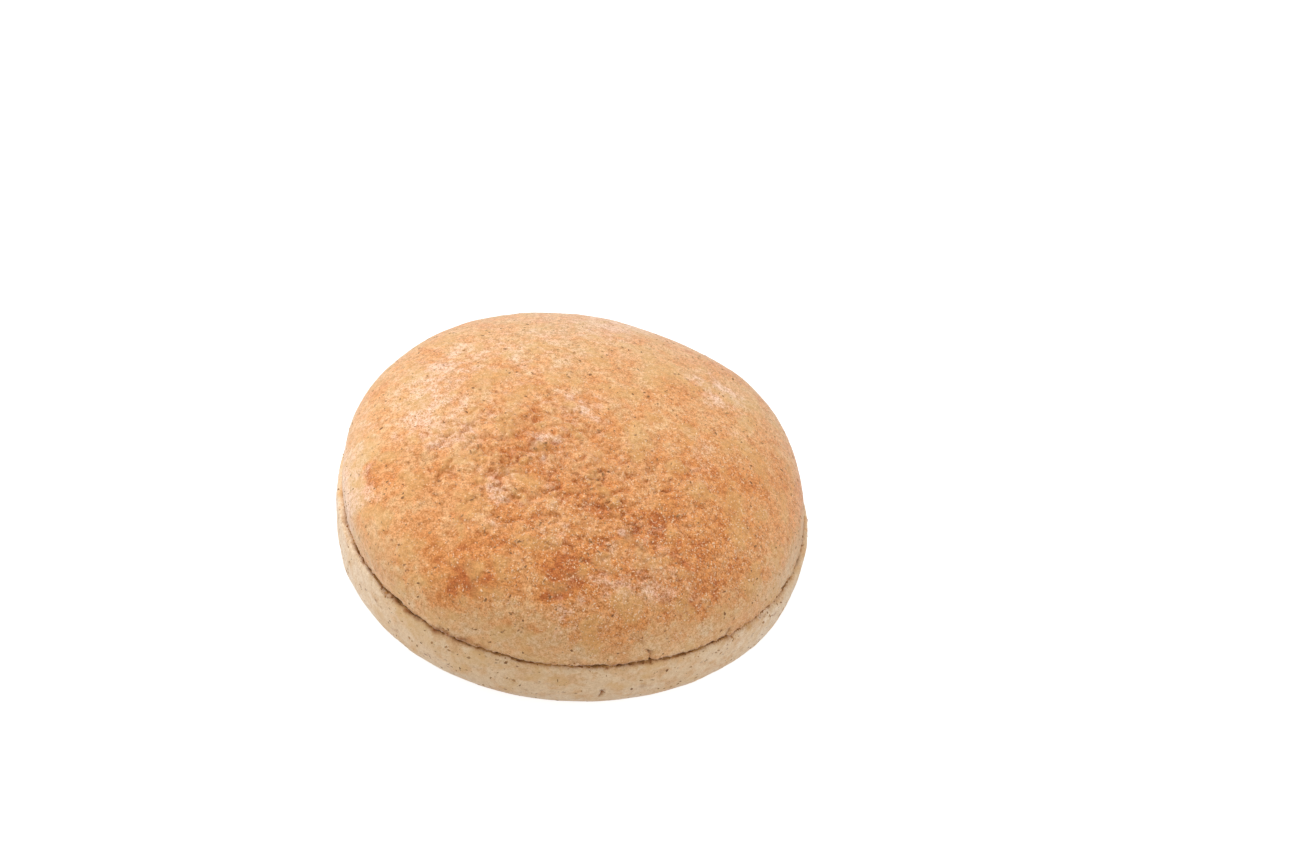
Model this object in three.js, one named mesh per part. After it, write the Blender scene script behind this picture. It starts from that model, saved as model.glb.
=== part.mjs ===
// A wholemeal hamburger bun, baked in one piece and then sliced level into a crown and a heel.
// Millimetres, +Z up. The origin lies under the middle of the bun, on the surface it rests on.
// The browned, wrinkled middle of the crown faces -Y and the taller shoulder is at the back right.

import * as THREE from "three";
import { ImprovedNoise } from "three/addons/math/ImprovedNoise.js";
import { mergeVertices } from "three/addons/utils/BufferGeometryUtils.js";

// Driving sizes of the whole bun.
const BUN_DIAMETER = 110;
const BUN_HEIGHT = 43.5;
const WAIST_HEIGHT = 15.9; // where the bun is widest
const BASE_DIAMETER = 97; // the flat that lay on the baking sheet

// How full the rounded walls are: 2 is an ellipse, more is boxier.
const DOME_RISE_FULLNESS = 2.35;
const DOME_SPAN_FULLNESS = 2.12;
const FOOT_FULLNESS = 2.4;

// The slice, which rises a little towards the back and to the left.
const CUT_HEIGHT = 16.8;
const CUT_RISE = { right: -0.25, back: 1.4 }; // height gained at the rim on that side
const SLIT_GAP = 0.35;
const LIP_RADIUS = { crown: 0.5, heel: 1.1 }; // the crust turns in along the cut
const CROWN_TUCK = { depth: 0.45, left: 1.5, right: 0.9, reach: 9 }; // how far it draws in above the cut
const TUCK_SIDENESS = 4; // power that keeps the deeper tuck to the far left and right
const CUT_WAVE_FADE = 6; // power of the radius by which the waves below grow towards the rim
const CUT_WAVES = [
  { count: 5, height: 0.22, turn: 0.8 },
  { count: 11, height: 0.14, turn: 2.1 },
  { count: 19, height: 0.1, turn: 4.4 },
];

// The uneven outline, seen from above: how many lobes, how far they reach, and where the first one points.
const PLAN_LOBES = [
  { count: 2, reach: 0.009, angle: 39 },
  { count: 3, reach: 0.013, angle: -4 },
];
const CROWN_LEAN = { right: -4, back: -1 }; // how far the top sits off the middle
const SHOULDER = { angle: 43.5, radius: 48, height: 28, rise: 2.3, spread: 14 };

// Relief of the crust: rise or depth and length of each kind of unevenness, and the slice of noise it reads.
const SWELL = { rise: 0.55, length: 21, slice: 3.7 };
const PUCKER = { rise: 0.2, length: 10, slice: 8.2 };
const WRINKLE = { depth: 0.8, along: 7.5, across: 4.4, turn: 14, slice: 1.3 };
const WRINKLED_PATCH = { right: -8, back: -17, radius: 38 };
const FOOT_CREASE = { depth: 0.3, along: 17, across: 4.5, slice: 5.1 };
const RELIEF_FADE = 7; // the crust smooths out over this height towards the cut and the base

// Mesh density.
const TURN_STEPS = 120;
const DOME_RINGS = 35;
const FOOT_RINGS = 9;
const LIP_RINGS = 3;
const FLAT_RINGS = 2;
const WELD_REACH = 0.001; // points nearer than this become one

const BUN_RADIUS = BUN_DIAMETER / 2;
const BASE_RADIUS = BASE_DIAMETER / 2;
const CURVE_SAMPLES = 160;
const noise = new ImprovedNoise();

// A rounded quarter wall from a pole on the axis side to the waist, as points on a fuller ellipse.
function quarterWall(innerRadius, poleHeight, riseFullness, spanFullness) {
  const points = [];
  for (let i = 0; i <= CURVE_SAMPLES; i++) {
    const turn = (Math.PI / 2) * (i / CURVE_SAMPLES);
    const span = Math.pow(Math.sin(turn), 2 / spanFullness);
    const rise = Math.pow(Math.cos(turn), 2 / riseFullness);
    points.push(
      new THREE.Vector2(
        innerRadius + (BUN_RADIUS - innerRadius) * span,
        WAIST_HEIGHT + (poleHeight - WAIST_HEIGHT) * rise,
      ),
    );
  }
  return points;
}

// The whole bun's outer profile, from the middle of the top down to the rim of the flat base.
function outerProfile() {
  const dome = quarterWall(0, BUN_HEIGHT, DOME_RISE_FULLNESS, DOME_SPAN_FULLNESS);
  const foot = quarterWall(BASE_RADIUS, 0, FOOT_FULLNESS, FOOT_FULLNESS).reverse();
  return [...dome, ...foot.slice(1)];
}

// The radius of the outer wall at a height below the dome's top, read off the profile.
function wallRadius(profile, height) {
  const i = profile.findIndex((point) => point.y <= height);
  const above = profile[i - 1];
  const below = profile[i];
  const share = (above.y - height) / (above.y - below.y);
  return THREE.MathUtils.lerp(above.x, below.x, share);
}

// The rounded lip of a half: an arc from the wall to the cut face. The wall is above it for `side` +1.
function lipArc(profile, cutHeight, side, radius) {
  const wall = wallRadius(profile, cutHeight + side * radius);
  const points = [];
  for (let i = 0; i <= LIP_RINGS; i++) {
    const turn = (Math.PI / 2) * (i / LIP_RINGS);
    points.push(
      new THREE.Vector2(
        wall - radius * (1 - Math.cos(turn)),
        cutHeight + side * radius * (1 - Math.sin(turn)),
      ),
    );
  }
  return points;
}

// Evenly spaced points on a flat, from a rim in to the axis, without the rim itself.
function flatToAxis(rim) {
  const points = [];
  for (let i = 1; i <= FLAT_RINGS; i++) {
    points.push(new THREE.Vector2(rim.x * (1 - i / FLAT_RINGS), rim.y));
  }
  return points;
}

// Points at even steps along a run of points.
function spacedAlong(points, rings) {
  return new THREE.SplineCurve(points).getSpacedPoints(rings);
}

// The crown's section, from the middle of its cut face round the lip and up the dome.
function crownProfile(profile) {
  const cutHeight = CUT_HEIGHT + SLIT_GAP / 2;
  const lip = lipArc(profile, cutHeight, 1, LIP_RADIUS.crown);
  const wall = profile.filter((point) => point.y > lip[0].y);
  const dome = spacedAlong([...wall, lip[0]], DOME_RINGS);
  return [...dome, ...lip.slice(1), ...flatToAxis(lip.at(-1))].reverse();
}

// The heel's section, from the middle of its flat base up the foot, round the lip and across the cut face.
function heelProfile(profile) {
  const cutHeight = CUT_HEIGHT - SLIT_GAP / 2;
  const lip = lipArc(profile, cutHeight, -1, LIP_RADIUS.heel);
  const wall = profile.filter((point) => point.y < lip[0].y);
  const foot = spacedAlong([lip[0], ...wall], FOOT_RINGS);
  const base = [...foot, ...flatToAxis(foot.at(-1))].reverse();
  return [...base, ...lip.slice(1), ...flatToAxis(lip.at(-1))];
}

// A closed skin turned about +Z, with one vertex wherever faces meet.
function turnedSkin(profile) {
  const lathe = new THREE.LatheGeometry(profile, TURN_STEPS).rotateX(Math.PI / 2);
  lathe.deleteAttribute("normal");
  lathe.deleteAttribute("uv");
  return mergeVertices(lathe, WELD_REACH);
}

// The share of the true circle that the outline reaches in a direction.
function planReach(angle) {
  const reaches = PLAN_LOBES.map(
    (lobe) => lobe.reach * Math.cos(lobe.count * (angle - THREE.MathUtils.degToRad(lobe.angle))),
  );
  return reaches.reduce((sum, reach) => sum + reach, 1);
}

// How far the slice lies above its height at the axis, in a direction and at a share of the radius.
function cutRise(angle, share) {
  const slope = CUT_RISE.right * Math.cos(angle) + CUT_RISE.back * Math.sin(angle);
  const waves = CUT_WAVES.map((wave) => wave.height * Math.sin(wave.count * angle + wave.turn));
  return share * slope + Math.pow(share, CUT_WAVE_FADE) * waves.reduce((sum, wave) => sum + wave, 0);
}

// The share of its radius that a point keeps where the crown is drawn in above the cut.
function tuckShare(angle, height) {
  if (height < CUT_HEIGHT) {
    return 1;
  }
  const toRight = Math.cos(angle);
  const sideness = Math.pow(Math.abs(toRight), TUCK_SIDENESS);
  const more = sideness * (toRight > 0 ? CROWN_TUCK.right : CROWN_TUCK.left);
  const fading = THREE.MathUtils.smoothstep(height - CUT_HEIGHT, 0, CROWN_TUCK.reach);
  return 1 - ((CROWN_TUCK.depth + more) / BUN_RADIUS) * (1 - fading);
}

// Moves a point of the turned skin to where it lies on the uneven bun.
function bakedPlace(point) {
  const angle = Math.atan2(point.y, point.x);
  const tuck = tuckShare(angle, point.z);
  const reach = tuck * planReach(angle);
  const share = (tuck * Math.hypot(point.x, point.y)) / BUN_RADIUS;
  const aboveWaist = THREE.MathUtils.clamp(
    (point.z - WAIST_HEIGHT) / (BUN_HEIGHT - WAIST_HEIGHT),
    0,
    1,
  );
  const nearCut =
    point.z > CUT_HEIGHT
      ? (BUN_HEIGHT - point.z) / (BUN_HEIGHT - CUT_HEIGHT)
      : point.z / CUT_HEIGHT;
  const place = new THREE.Vector3(
    point.x * reach + CROWN_LEAN.right * aboveWaist,
    point.y * reach + CROWN_LEAN.back * aboveWaist,
    point.z + cutRise(angle, share) * nearCut,
  );
  const shoulderAngle = THREE.MathUtils.degToRad(SHOULDER.angle);
  const shoulder = new THREE.Vector3(
    SHOULDER.radius * Math.cos(shoulderAngle),
    SHOULDER.radius * Math.sin(shoulderAngle),
    SHOULDER.height,
  );
  const away = place.distanceTo(shoulder) / SHOULDER.spread;
  const fromCut = THREE.MathUtils.smoothstep(point.z - CUT_HEIGHT, 0, RELIEF_FADE);
  const outward = shoulder.clone().normalize();
  return place.addScaledVector(outward, SHOULDER.rise * fromCut * Math.exp((-away * away) / 2));
}

// Rounded unevenness of one kind, the same on both halves at a place seen from above.
function lumpiness(kind, point) {
  return kind.rise * noise.noise(point.x / kind.length, point.y / kind.length, kind.slice);
}

// Relief of the dome: broad swells all over, and wrinkles in the browned middle.
function domeRelief(point) {
  const right = point.x - WRINKLED_PATCH.right;
  const back = point.y - WRINKLED_PATCH.back;
  const inPatch = 1 - THREE.MathUtils.smoothstep(Math.hypot(right, back), 0, WRINKLED_PATCH.radius);
  const turn = THREE.MathUtils.degToRad(WRINKLE.turn);
  const along = (right * Math.cos(turn) + back * Math.sin(turn)) / WRINKLE.along;
  const across = (back * Math.cos(turn) - right * Math.sin(turn)) / WRINKLE.across;
  const wrinkle = inPatch * WRINKLE.depth * noise.noise(along, across, WRINKLE.slice);
  return lumpiness(SWELL, point) + lumpiness(PUCKER, point) + wrinkle;
}

// Relief of the heel's wall: long shallow creases that run round it.
function footRelief(point) {
  const round = BUN_RADIUS * Math.atan2(point.y, point.x);
  const along = round / FOOT_CREASE.along;
  const across = point.z / FOOT_CREASE.across;
  return lumpiness(SWELL, point) + FOOT_CREASE.depth * noise.noise(along, across, FOOT_CREASE.slice);
}

// The uneven, baked skin of one half. Relief fades out towards the cut face and the flat base.
function bakedSkin(profile, relief) {
  const skin = turnedSkin(profile);
  const position = skin.getAttribute("position");
  const point = new THREE.Vector3();
  const rough = [];
  for (let i = 0; i < position.count; i++) {
    point.fromBufferAttribute(position, i);
    const fromCut = Math.abs(point.z - CUT_HEIGHT) - SLIT_GAP / 2;
    const fromEdge = Math.min(fromCut, point.z);
    rough.push(THREE.MathUtils.smoothstep(fromEdge, 0, RELIEF_FADE));
    position.setXYZ(i, ...bakedPlace(point));
  }
  skin.computeVertexNormals();
  const normal = skin.getAttribute("normal");
  const outward = new THREE.Vector3();
  for (let i = 0; i < position.count; i++) {
    point.fromBufferAttribute(position, i);
    outward.fromBufferAttribute(normal, i);
    position.setXYZ(i, ...point.addScaledVector(outward, rough[i] * relief(point)));
  }
  skin.computeVertexNormals();
  return skin;
}

const crust = {
  crown: new THREE.MeshStandardMaterial({ color: 0xd39a63, roughness: 0.75, metalness: 0 }),
  heel: new THREE.MeshStandardMaterial({ color: 0xd8b98c, roughness: 0.8, metalness: 0 }),
};

// One half as a named mesh in its own material.
function half(name, profile, relief) {
  const mesh = new THREE.Mesh(bakedSkin(profile, relief), crust[name]);
  mesh.name = name;
  return mesh;
}

// Both halves, set so that the middle of their outline is over the origin.
function buildBun() {
  const profile = outerProfile();
  const bun = new THREE.Group();
  bun.name = "hamburger_bun";
  bun.add(half("crown", crownProfile(profile), domeRelief));
  bun.add(half("heel", heelProfile(profile), footRelief));
  const middle = new THREE.Box3().setFromObject(bun).getCenter(new THREE.Vector3());
  for (const mesh of bun.children) {
    mesh.geometry.translate(-middle.x, -middle.y, 0);
  }
  return bun;
}

export default buildBun();
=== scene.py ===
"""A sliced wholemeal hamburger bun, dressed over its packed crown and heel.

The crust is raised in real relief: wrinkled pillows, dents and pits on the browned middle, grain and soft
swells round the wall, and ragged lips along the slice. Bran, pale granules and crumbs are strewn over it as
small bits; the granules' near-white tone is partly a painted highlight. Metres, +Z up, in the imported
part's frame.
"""

import sys

import logging
import math
from abc import ABC, abstractmethod
from dataclasses import dataclass, field
from enum import Enum

import bmesh
import bpy
import numpy as np
from mathutils import Matrix, Vector
from mathutils.bvhtree import BVHTree


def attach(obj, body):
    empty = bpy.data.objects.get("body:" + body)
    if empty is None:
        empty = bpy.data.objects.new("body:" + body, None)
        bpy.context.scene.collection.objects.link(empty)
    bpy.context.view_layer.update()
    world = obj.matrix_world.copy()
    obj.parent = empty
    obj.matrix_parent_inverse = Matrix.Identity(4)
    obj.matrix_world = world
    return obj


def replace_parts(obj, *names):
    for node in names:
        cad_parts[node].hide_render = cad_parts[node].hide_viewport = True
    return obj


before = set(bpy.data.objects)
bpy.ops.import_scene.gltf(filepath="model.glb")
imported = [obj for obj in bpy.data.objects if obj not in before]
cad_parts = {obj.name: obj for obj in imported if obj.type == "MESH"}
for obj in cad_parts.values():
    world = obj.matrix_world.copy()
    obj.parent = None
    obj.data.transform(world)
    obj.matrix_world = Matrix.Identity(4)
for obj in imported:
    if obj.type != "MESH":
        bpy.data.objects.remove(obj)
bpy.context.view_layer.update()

MM = 0.001
SQUARE_CM_PER_SQUARE_METRE = 1e4
BODY = "root"
WHITE = (1.0, 1.0, 1.0, 1.0)
LOG = logging.getLogger("bun")

Socket = bpy.types.NodeSocket
Feed = float | int | bool | str | tuple | Socket | bpy.types.ID
Span = tuple[float, float]


class Half(Enum):
    """The two pieces that the slice leaves, by the name of their solid."""

    CROWN = "crown"
    HEEL = "heel"

    @property
    def other(self) -> "Half":
        """The half across the slice."""
        return Half.HEEL if self is Half.CROWN else Half.CROWN


class Mark(Enum):
    """What the crust meshes carry at each point, as a share from 0 to 1."""

    CRUST = "crust"
    LIP = "lip"
    WRINKLED = "wrinkled"
    SANDY = "sandy"
    RISE = "rise"
    TOAST = "toast"
    # flour on the crust, and a painted sheen along the rims and on the heel's sides
    BLOOM = "bloom"
    CREASE = "crease"
    CRACK = "crack"
    # how deep the relief lies there; the crust's colour paints shade into it
    HOLLOW = "hollow"
    PINCH = "pinch"


class Pattern(Enum):
    """The patterns of the relief, each with a seed of its own."""

    CREASE = 2.0
    GRAIN = 3.0
    SWELL = 5.0
    LUMP_BEND = 7.0
    LUMP = 9.0
    LUMP_CLOUD = 10.0
    FOLD_BEND = 11.0
    FOLD = 13.0
    DENT_BEND = 17.0
    DENT = 19.0
    PIT_BEND = 23.0
    PIT = 29.0
    LIP_WAVE = 31.0
    LIP_TOOTH = 37.0
    EDGE_WAVE = 41.0
    BROWN_BEND = 43.0
    BROAD_CLOUD = 47.0
    CLOUD = 53.0
    FINE_CLOUD = 59.0
    FLOUR_AND_SHEEN_PATTERN = 61.0
    EDGE_CRUMB = 67.0


class Layer(Enum):
    """The patterns of the crust's colour, each with a seed of its own."""

    HIGHLIT_GRANULE = 0.0
    PORE = 1.0
    SMEAR = 2.0
    SPECK = 3.0
    STAIN_AND_SHADE = 4.0
    SPOT_BEND = 5.0
    YELLOW = 6.0
    TEAR = 7.0


class Draw(Enum):
    """What is drawn for each strewn bit, each with a seed of its own."""

    TURN = 1.0
    LENGTH = 2.0
    WIDTH = 3.0
    SHAPE = 4.0


@dataclass(frozen=True)
class Tone:
    """A colour as it looks on a screen, each part from 0 to 255."""

    red: int
    green: int
    blue: int

    def linear(self) -> tuple[float, float, float, float]:
        """The colour in linear light, by the usual curve of screens.

        Returns:
            Red, green, blue and full opacity.
        """
        parts = np.array([self.red, self.green, self.blue]) / 255
        low = parts / 12.92
        high = ((parts + 0.055) / 1.055) ** 2.4
        return (*np.where(parts <= 0.04045, low, high).tolist(), 1.0)


@dataclass(frozen=True)
class Patch:
    """A soft-edged place on the crust, in millimetres, where it differs by a strength."""

    right: float
    back: float
    height: float
    reach: float
    strength: float = 1.0

    def share(self, points: np.ndarray) -> np.ndarray:
        """How strongly the patch acts at each point.

        Args:
            points: places in millimetres, one row each.

        Returns:
            The strength at each point, falling off with distance.
        """
        away = np.linalg.norm(points - (self.right, self.back, self.height), axis=1)
        return self.strength * np.exp(-0.5 * (away / self.reach) ** 2)


@dataclass(frozen=True)
class Crack:
    """A short split in the crust between two places, in millimetres."""

    start: tuple[float, float, float]
    end: tuple[float, float, float]
    width: float = 0.4
    slack: float = 4.0
    middle: tuple[float, float, float] = (0.0, 0.0, 12.0)

    def share(self, points: np.ndarray) -> np.ndarray:
        """How deep in the split each point lies.

        Args:
            points: places in millimetres, one row each.

        Returns:
            1 in the middle of the split, 0 away from it.
        """
        start, end = np.array(self.start), np.array(self.end)
        outward = (start + end) / 2 - self.middle
        outward /= np.linalg.norm(outward)
        depth = (points - start) @ outward
        flat = points - start - depth[:, None] * outward
        along = end - start - ((end - start) @ outward) * outward
        share = np.clip(flat @ along / (along @ along), 0, 1)
        away = np.linalg.norm(flat - share[:, None] * along, axis=1)
        return np.exp(-((away / self.width) ** 2)) * (np.abs(depth) < self.slack)


Place = Patch | Crack


def marked(places: tuple[Place, ...], points: np.ndarray, start: np.ndarray | float = 0.0) -> np.ndarray:
    """How strongly several places act together.

    Args:
        places: the patches or splits.
        points: where they are read, in millimetres, one row each.
        start: what they are added to.

    Returns:
        The sum at each point.
    """
    return sum((place.share(points) for place in places), np.zeros(len(points)) + start)


@dataclass(frozen=True)
class Bend:
    """How noise pushes places about: the width of its clouds and how far it pushes, in millimetres."""

    width: float
    reach: float


@dataclass(frozen=True)
class Spots:
    """How spots are scattered: their spacing in millimetres, and the rest as shares."""

    spacing: float
    share: float
    reach: float
    core: float


def ramp(values: np.ndarray, low: float, high: float) -> np.ndarray:
    """A smooth step from 0 at `low` to 1 at `high`.

    Args:
        values: what is compared with the two limits.
        low: where the step starts.
        high: where the step ends.

    Returns:
        The step's height at each value.
    """
    share = np.clip((values - low) / (high - low), 0, 1)
    return share * share * (3 - 2 * share)


def strayed(points: np.ndarray, reach: float, width: float, seed: int) -> np.ndarray:
    """Points pushed about by crossing waves, so that what is placed by them has uneven edges.

    Args:
        points: places in millimetres, one row each.
        reach: how far a point is pushed, in millimetres.
        width: length of the longest waves, in millimetres.
        seed: picks the waves.

    Returns:
        The pushed points.
    """
    draw = np.random.default_rng(seed)
    axes = 3
    moved = points.copy()
    for finer in (1.0, 2.1, 4.3):
        ways = draw.normal(size=(axes, axes)) * finer * math.tau / width
        starts = draw.uniform(0, math.tau, axes)
        moved += reach / finer * np.sin(points @ ways + starts)
    return moved


class Wiring:
    """Adds nodes to one tree and joins their sockets."""

    SEED_STRIDE = (131.7, 71.3, 53.9)
    MIDDLE_GREY = (0.5, 0.5, 0.5)

    def __init__(self, tree: bpy.types.NodeTree) -> None:
        """Keeps the tree that is wired."""
        self.tree = tree

    def add(self, kind: str, **settings: object) -> bpy.types.Node:
        """Adds a node.

        Args:
            kind: the node's type name.
            settings: properties of the node and their values.

        Returns:
            The new node.
        """
        node = self.tree.nodes.new(kind)
        for name, value in settings.items():
            setattr(node, name, value)
        return node

    def feed(self, socket: Socket, value: Feed) -> None:
        """Joins a socket to another one, or sets its own value.

        Args:
            socket: the input that is fed.
            value: an output to join it to, or a plain value.
        """
        if isinstance(value, Socket):
            self.tree.links.new(value, socket)
        else:
            socket.default_value = value

    def run(self, kind: str, feeds: dict[str, Feed], out: str | int = 0, **settings: object) -> Socket:
        """Adds a node and feeds its inputs.

        Args:
            kind: the node's type name.
            feeds: input names or identifiers, and what goes into each.
            out: name or place of the output that is wanted.
            settings: properties of the node and their values.

        Returns:
            The wanted output.
        """
        node = self.add(kind, **settings)
        for name, value in feeds.items():
            found = [s for s in node.inputs if s.enabled and name in (s.identifier, s.name)]
            self.feed(found[0], value)
        return node.outputs[out]

    def math(self, operation: str, *values: Feed) -> Socket:
        """A sum, product or other operation on numbers.

        Args:
            operation: the operation's name.
            values: what it works on, in order.

        Returns:
            The result.
        """
        node = self.add("ShaderNodeMath", operation=operation)
        for socket, value in zip(node.inputs, values):
            self.feed(socket, value)
        return node.outputs[0]

    def total(self, *values: Feed) -> Socket:
        """The sum of several numbers.

        Args:
            values: the numbers.

        Returns:
            Their sum.
        """
        result = values[0]
        for value in values[1:]:
            result = self.math("ADD", result, value)
        return result

    def product(self, *values: Feed) -> Socket:
        """The product of several numbers.

        Args:
            values: the numbers.

        Returns:
            Their product.
        """
        result = values[0]
        for value in values[1:]:
            result = self.math("MULTIPLY", result, value)
        return result

    def vector(self, operation: str, *values: Feed) -> Socket:
        """A sum, product or other operation on vectors.

        Args:
            operation: the operation's name.
            values: what it works on, in order; SCALE takes the number second.

        Returns:
            The result.
        """
        node = self.add("ShaderNodeVectorMath", operation=operation)
        if operation == "SCALE":
            self.feed(node.inputs["Vector"], values[0])
            self.feed(node.inputs["Scale"], values[1])
        else:
            for socket, value in zip(node.inputs, values):
                self.feed(socket, value)
        return node.outputs[0]

    def step(self, value: Feed, low: Feed, high: Feed, start: Feed = 0.0, end: Feed = 1.0) -> Socket:
        """A smooth step from `start` at `low` to `end` at `high`."""
        feeds = {"Value": value, "From Min": low, "From Max": high, "To Min": start, "To Max": end}
        return self.run("ShaderNodeMapRange", feeds, interpolation_type="SMOOTHSTEP")

    def shifted(self, place: Feed, seed: Feed) -> Socket:
        """Places moved far off by a seed, so that each seed gives another pattern."""
        return self.vector("ADD", place, self.vector("SCALE", self.SEED_STRIDE, seed))

    def noise(
        self,
        place: Feed,
        width: Feed,
        seed: Feed,
        detail: float = 2.0,
        roughness: float = 0.5,
        out: str = "Fac",
    ) -> Socket:
        """Cloudy noise.

        Args:
            place: where it is read, in millimetres.
            width: size of its clouds, in millimetres.
            seed: picks the pattern.
            detail: how many finer layers it has.
            roughness: how strong the finer layers are.
            out: "Fac" for a number, "Color" for three.

        Returns:
            Noise from 0 to 1.
        """
        feeds = {
            "Vector": self.shifted(place, seed),
            "Scale": self.math("DIVIDE", 1.0, width),
            "Detail": detail,
            "Roughness": roughness,
        }
        return self.run("ShaderNodeTexNoise", feeds, out)

    def pushed(self, place: Feed, bend: Bend, seed: Feed) -> Socket:
        """Places pushed about by noise, so that what is drawn on them is uneven.

        Args:
            place: the places, in millimetres.
            bend: how the noise pushes them.
            seed: picks the pattern.

        Returns:
            The pushed places.
        """
        push = self.noise(place, bend.width, seed, detail=1.0, out="Color")
        push = self.vector("SUBTRACT", push, self.MIDDLE_GREY)
        return self.vector("ADD", place, self.vector("SCALE", push, 2 * bend.reach))

    def cells(self, place: Feed, width: Feed, seed: Feed, feature: str = "F1") -> bpy.types.Node:
        """Uneven cells.

        Args:
            place: where they are read, in millimetres.
            width: size of a cell, in millimetres.
            seed: picks the pattern.
            feature: what the distance is measured from.

        Returns:
            The node, whose outputs give a distance and a colour for each cell.
        """
        node = self.add("ShaderNodeTexVoronoi", feature=feature)
        self.feed(node.inputs["Vector"], self.shifted(place, seed))
        self.feed(node.inputs["Scale"], self.math("DIVIDE", 1.0, width))
        return node

    def tint(self, share: Feed, under: Feed, over: Feed, mode: str = "MIX") -> Socket:
        """Colour `over` laid on colour `under` by a share."""
        feeds = {"Factor_Float": share, "A_Color": under, "B_Color": over}
        return self.run("ShaderNodeMix", feeds, 2, data_type="RGBA", blend_type=mode)


def new_tree(name: str, kind: str, inputs: dict[str, tuple[str, object]], outputs: dict[str, str]) -> Wiring:
    """Makes an empty node group with named sockets.

    Args:
        name: the group's name.
        kind: the tree's type name.
        inputs: name of each input, with its socket type and its value.
        outputs: name of each output, with its socket type.

    Returns:
        The wiring of the new group.
    """
    tree = bpy.data.node_groups.new(name, kind)
    for label, (socket, value) in inputs.items():
        made = tree.interface.new_socket(name=label, in_out="INPUT", socket_type=socket)
        if value is not None:
            made.default_value = value
    for label, socket in outputs.items():
        tree.interface.new_socket(name=label, in_out="OUTPUT", socket_type=socket)
    return Wiring(tree)


def evaluated_mesh(host: bpy.types.Object) -> bpy.types.Mesh:
    """An object's mesh with its modifiers applied.

    Args:
        host: the object.

    Returns:
        The new mesh.
    """
    host.update_tag()
    bpy.context.view_layer.update()
    depsgraph = bpy.context.evaluated_depsgraph_get()
    return bpy.data.meshes.new_from_object(
        host.evaluated_get(depsgraph), preserve_all_data_layers=True, depsgraph=depsgraph
    )


def made_by_nodes(
    host: bpy.types.Object, tree: bpy.types.NodeTree, values: dict[str, object]
) -> bpy.types.Mesh:
    """Runs a geometry tree on an object.

    Args:
        host: the object whose mesh goes in.
        tree: the geometry tree.
        values: names of the tree's inputs, and what each is set to.

    Returns:
        The result as a plain mesh.
    """
    modifier = host.modifiers.new(tree.name, "NODES")
    modifier.node_group = tree
    for item in tree.interface.items_tree:
        if item.in_out == "INPUT" and item.name in values:
            modifier[item.identifier] = values[item.name]
    mesh = evaluated_mesh(host)
    host.modifiers.remove(modifier)
    return mesh


def new_object(name: str, mesh: bpy.types.Mesh) -> bpy.types.Object:
    """Puts a mesh in the scene as an object at the origin.

    Args:
        name: the object's name.
        mesh: its mesh.

    Returns:
        The new object.
    """
    made = bpy.data.objects.new(name, mesh)
    bpy.context.scene.collection.objects.link(made)
    return made


def coordinates(mesh: bpy.types.Mesh) -> tuple[np.ndarray, np.ndarray]:
    """Reads where the points of a mesh lie and which way they face.

    Args:
        mesh: the mesh.

    Returns:
        A row for each point's place in millimetres, and one for its normal.
    """
    points = np.empty(len(mesh.vertices) * 3, np.float32)
    normals = np.empty(len(mesh.vertices) * 3, np.float32)
    mesh.vertices.foreach_get("co", points)
    mesh.vertex_normals.foreach_get("vector", normals)
    return points.reshape(-1, 3) / MM, normals.reshape(-1, 3)


def set_mark(mesh: bpy.types.Mesh, mark: Mark, values: np.ndarray) -> None:
    """Stores a share for each point of a mesh."""
    attribute = mesh.attributes.new(mark.value, "FLOAT", "POINT")
    attribute.data.foreach_set("value", np.clip(values, 0, 1).astype(np.float32))


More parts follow.
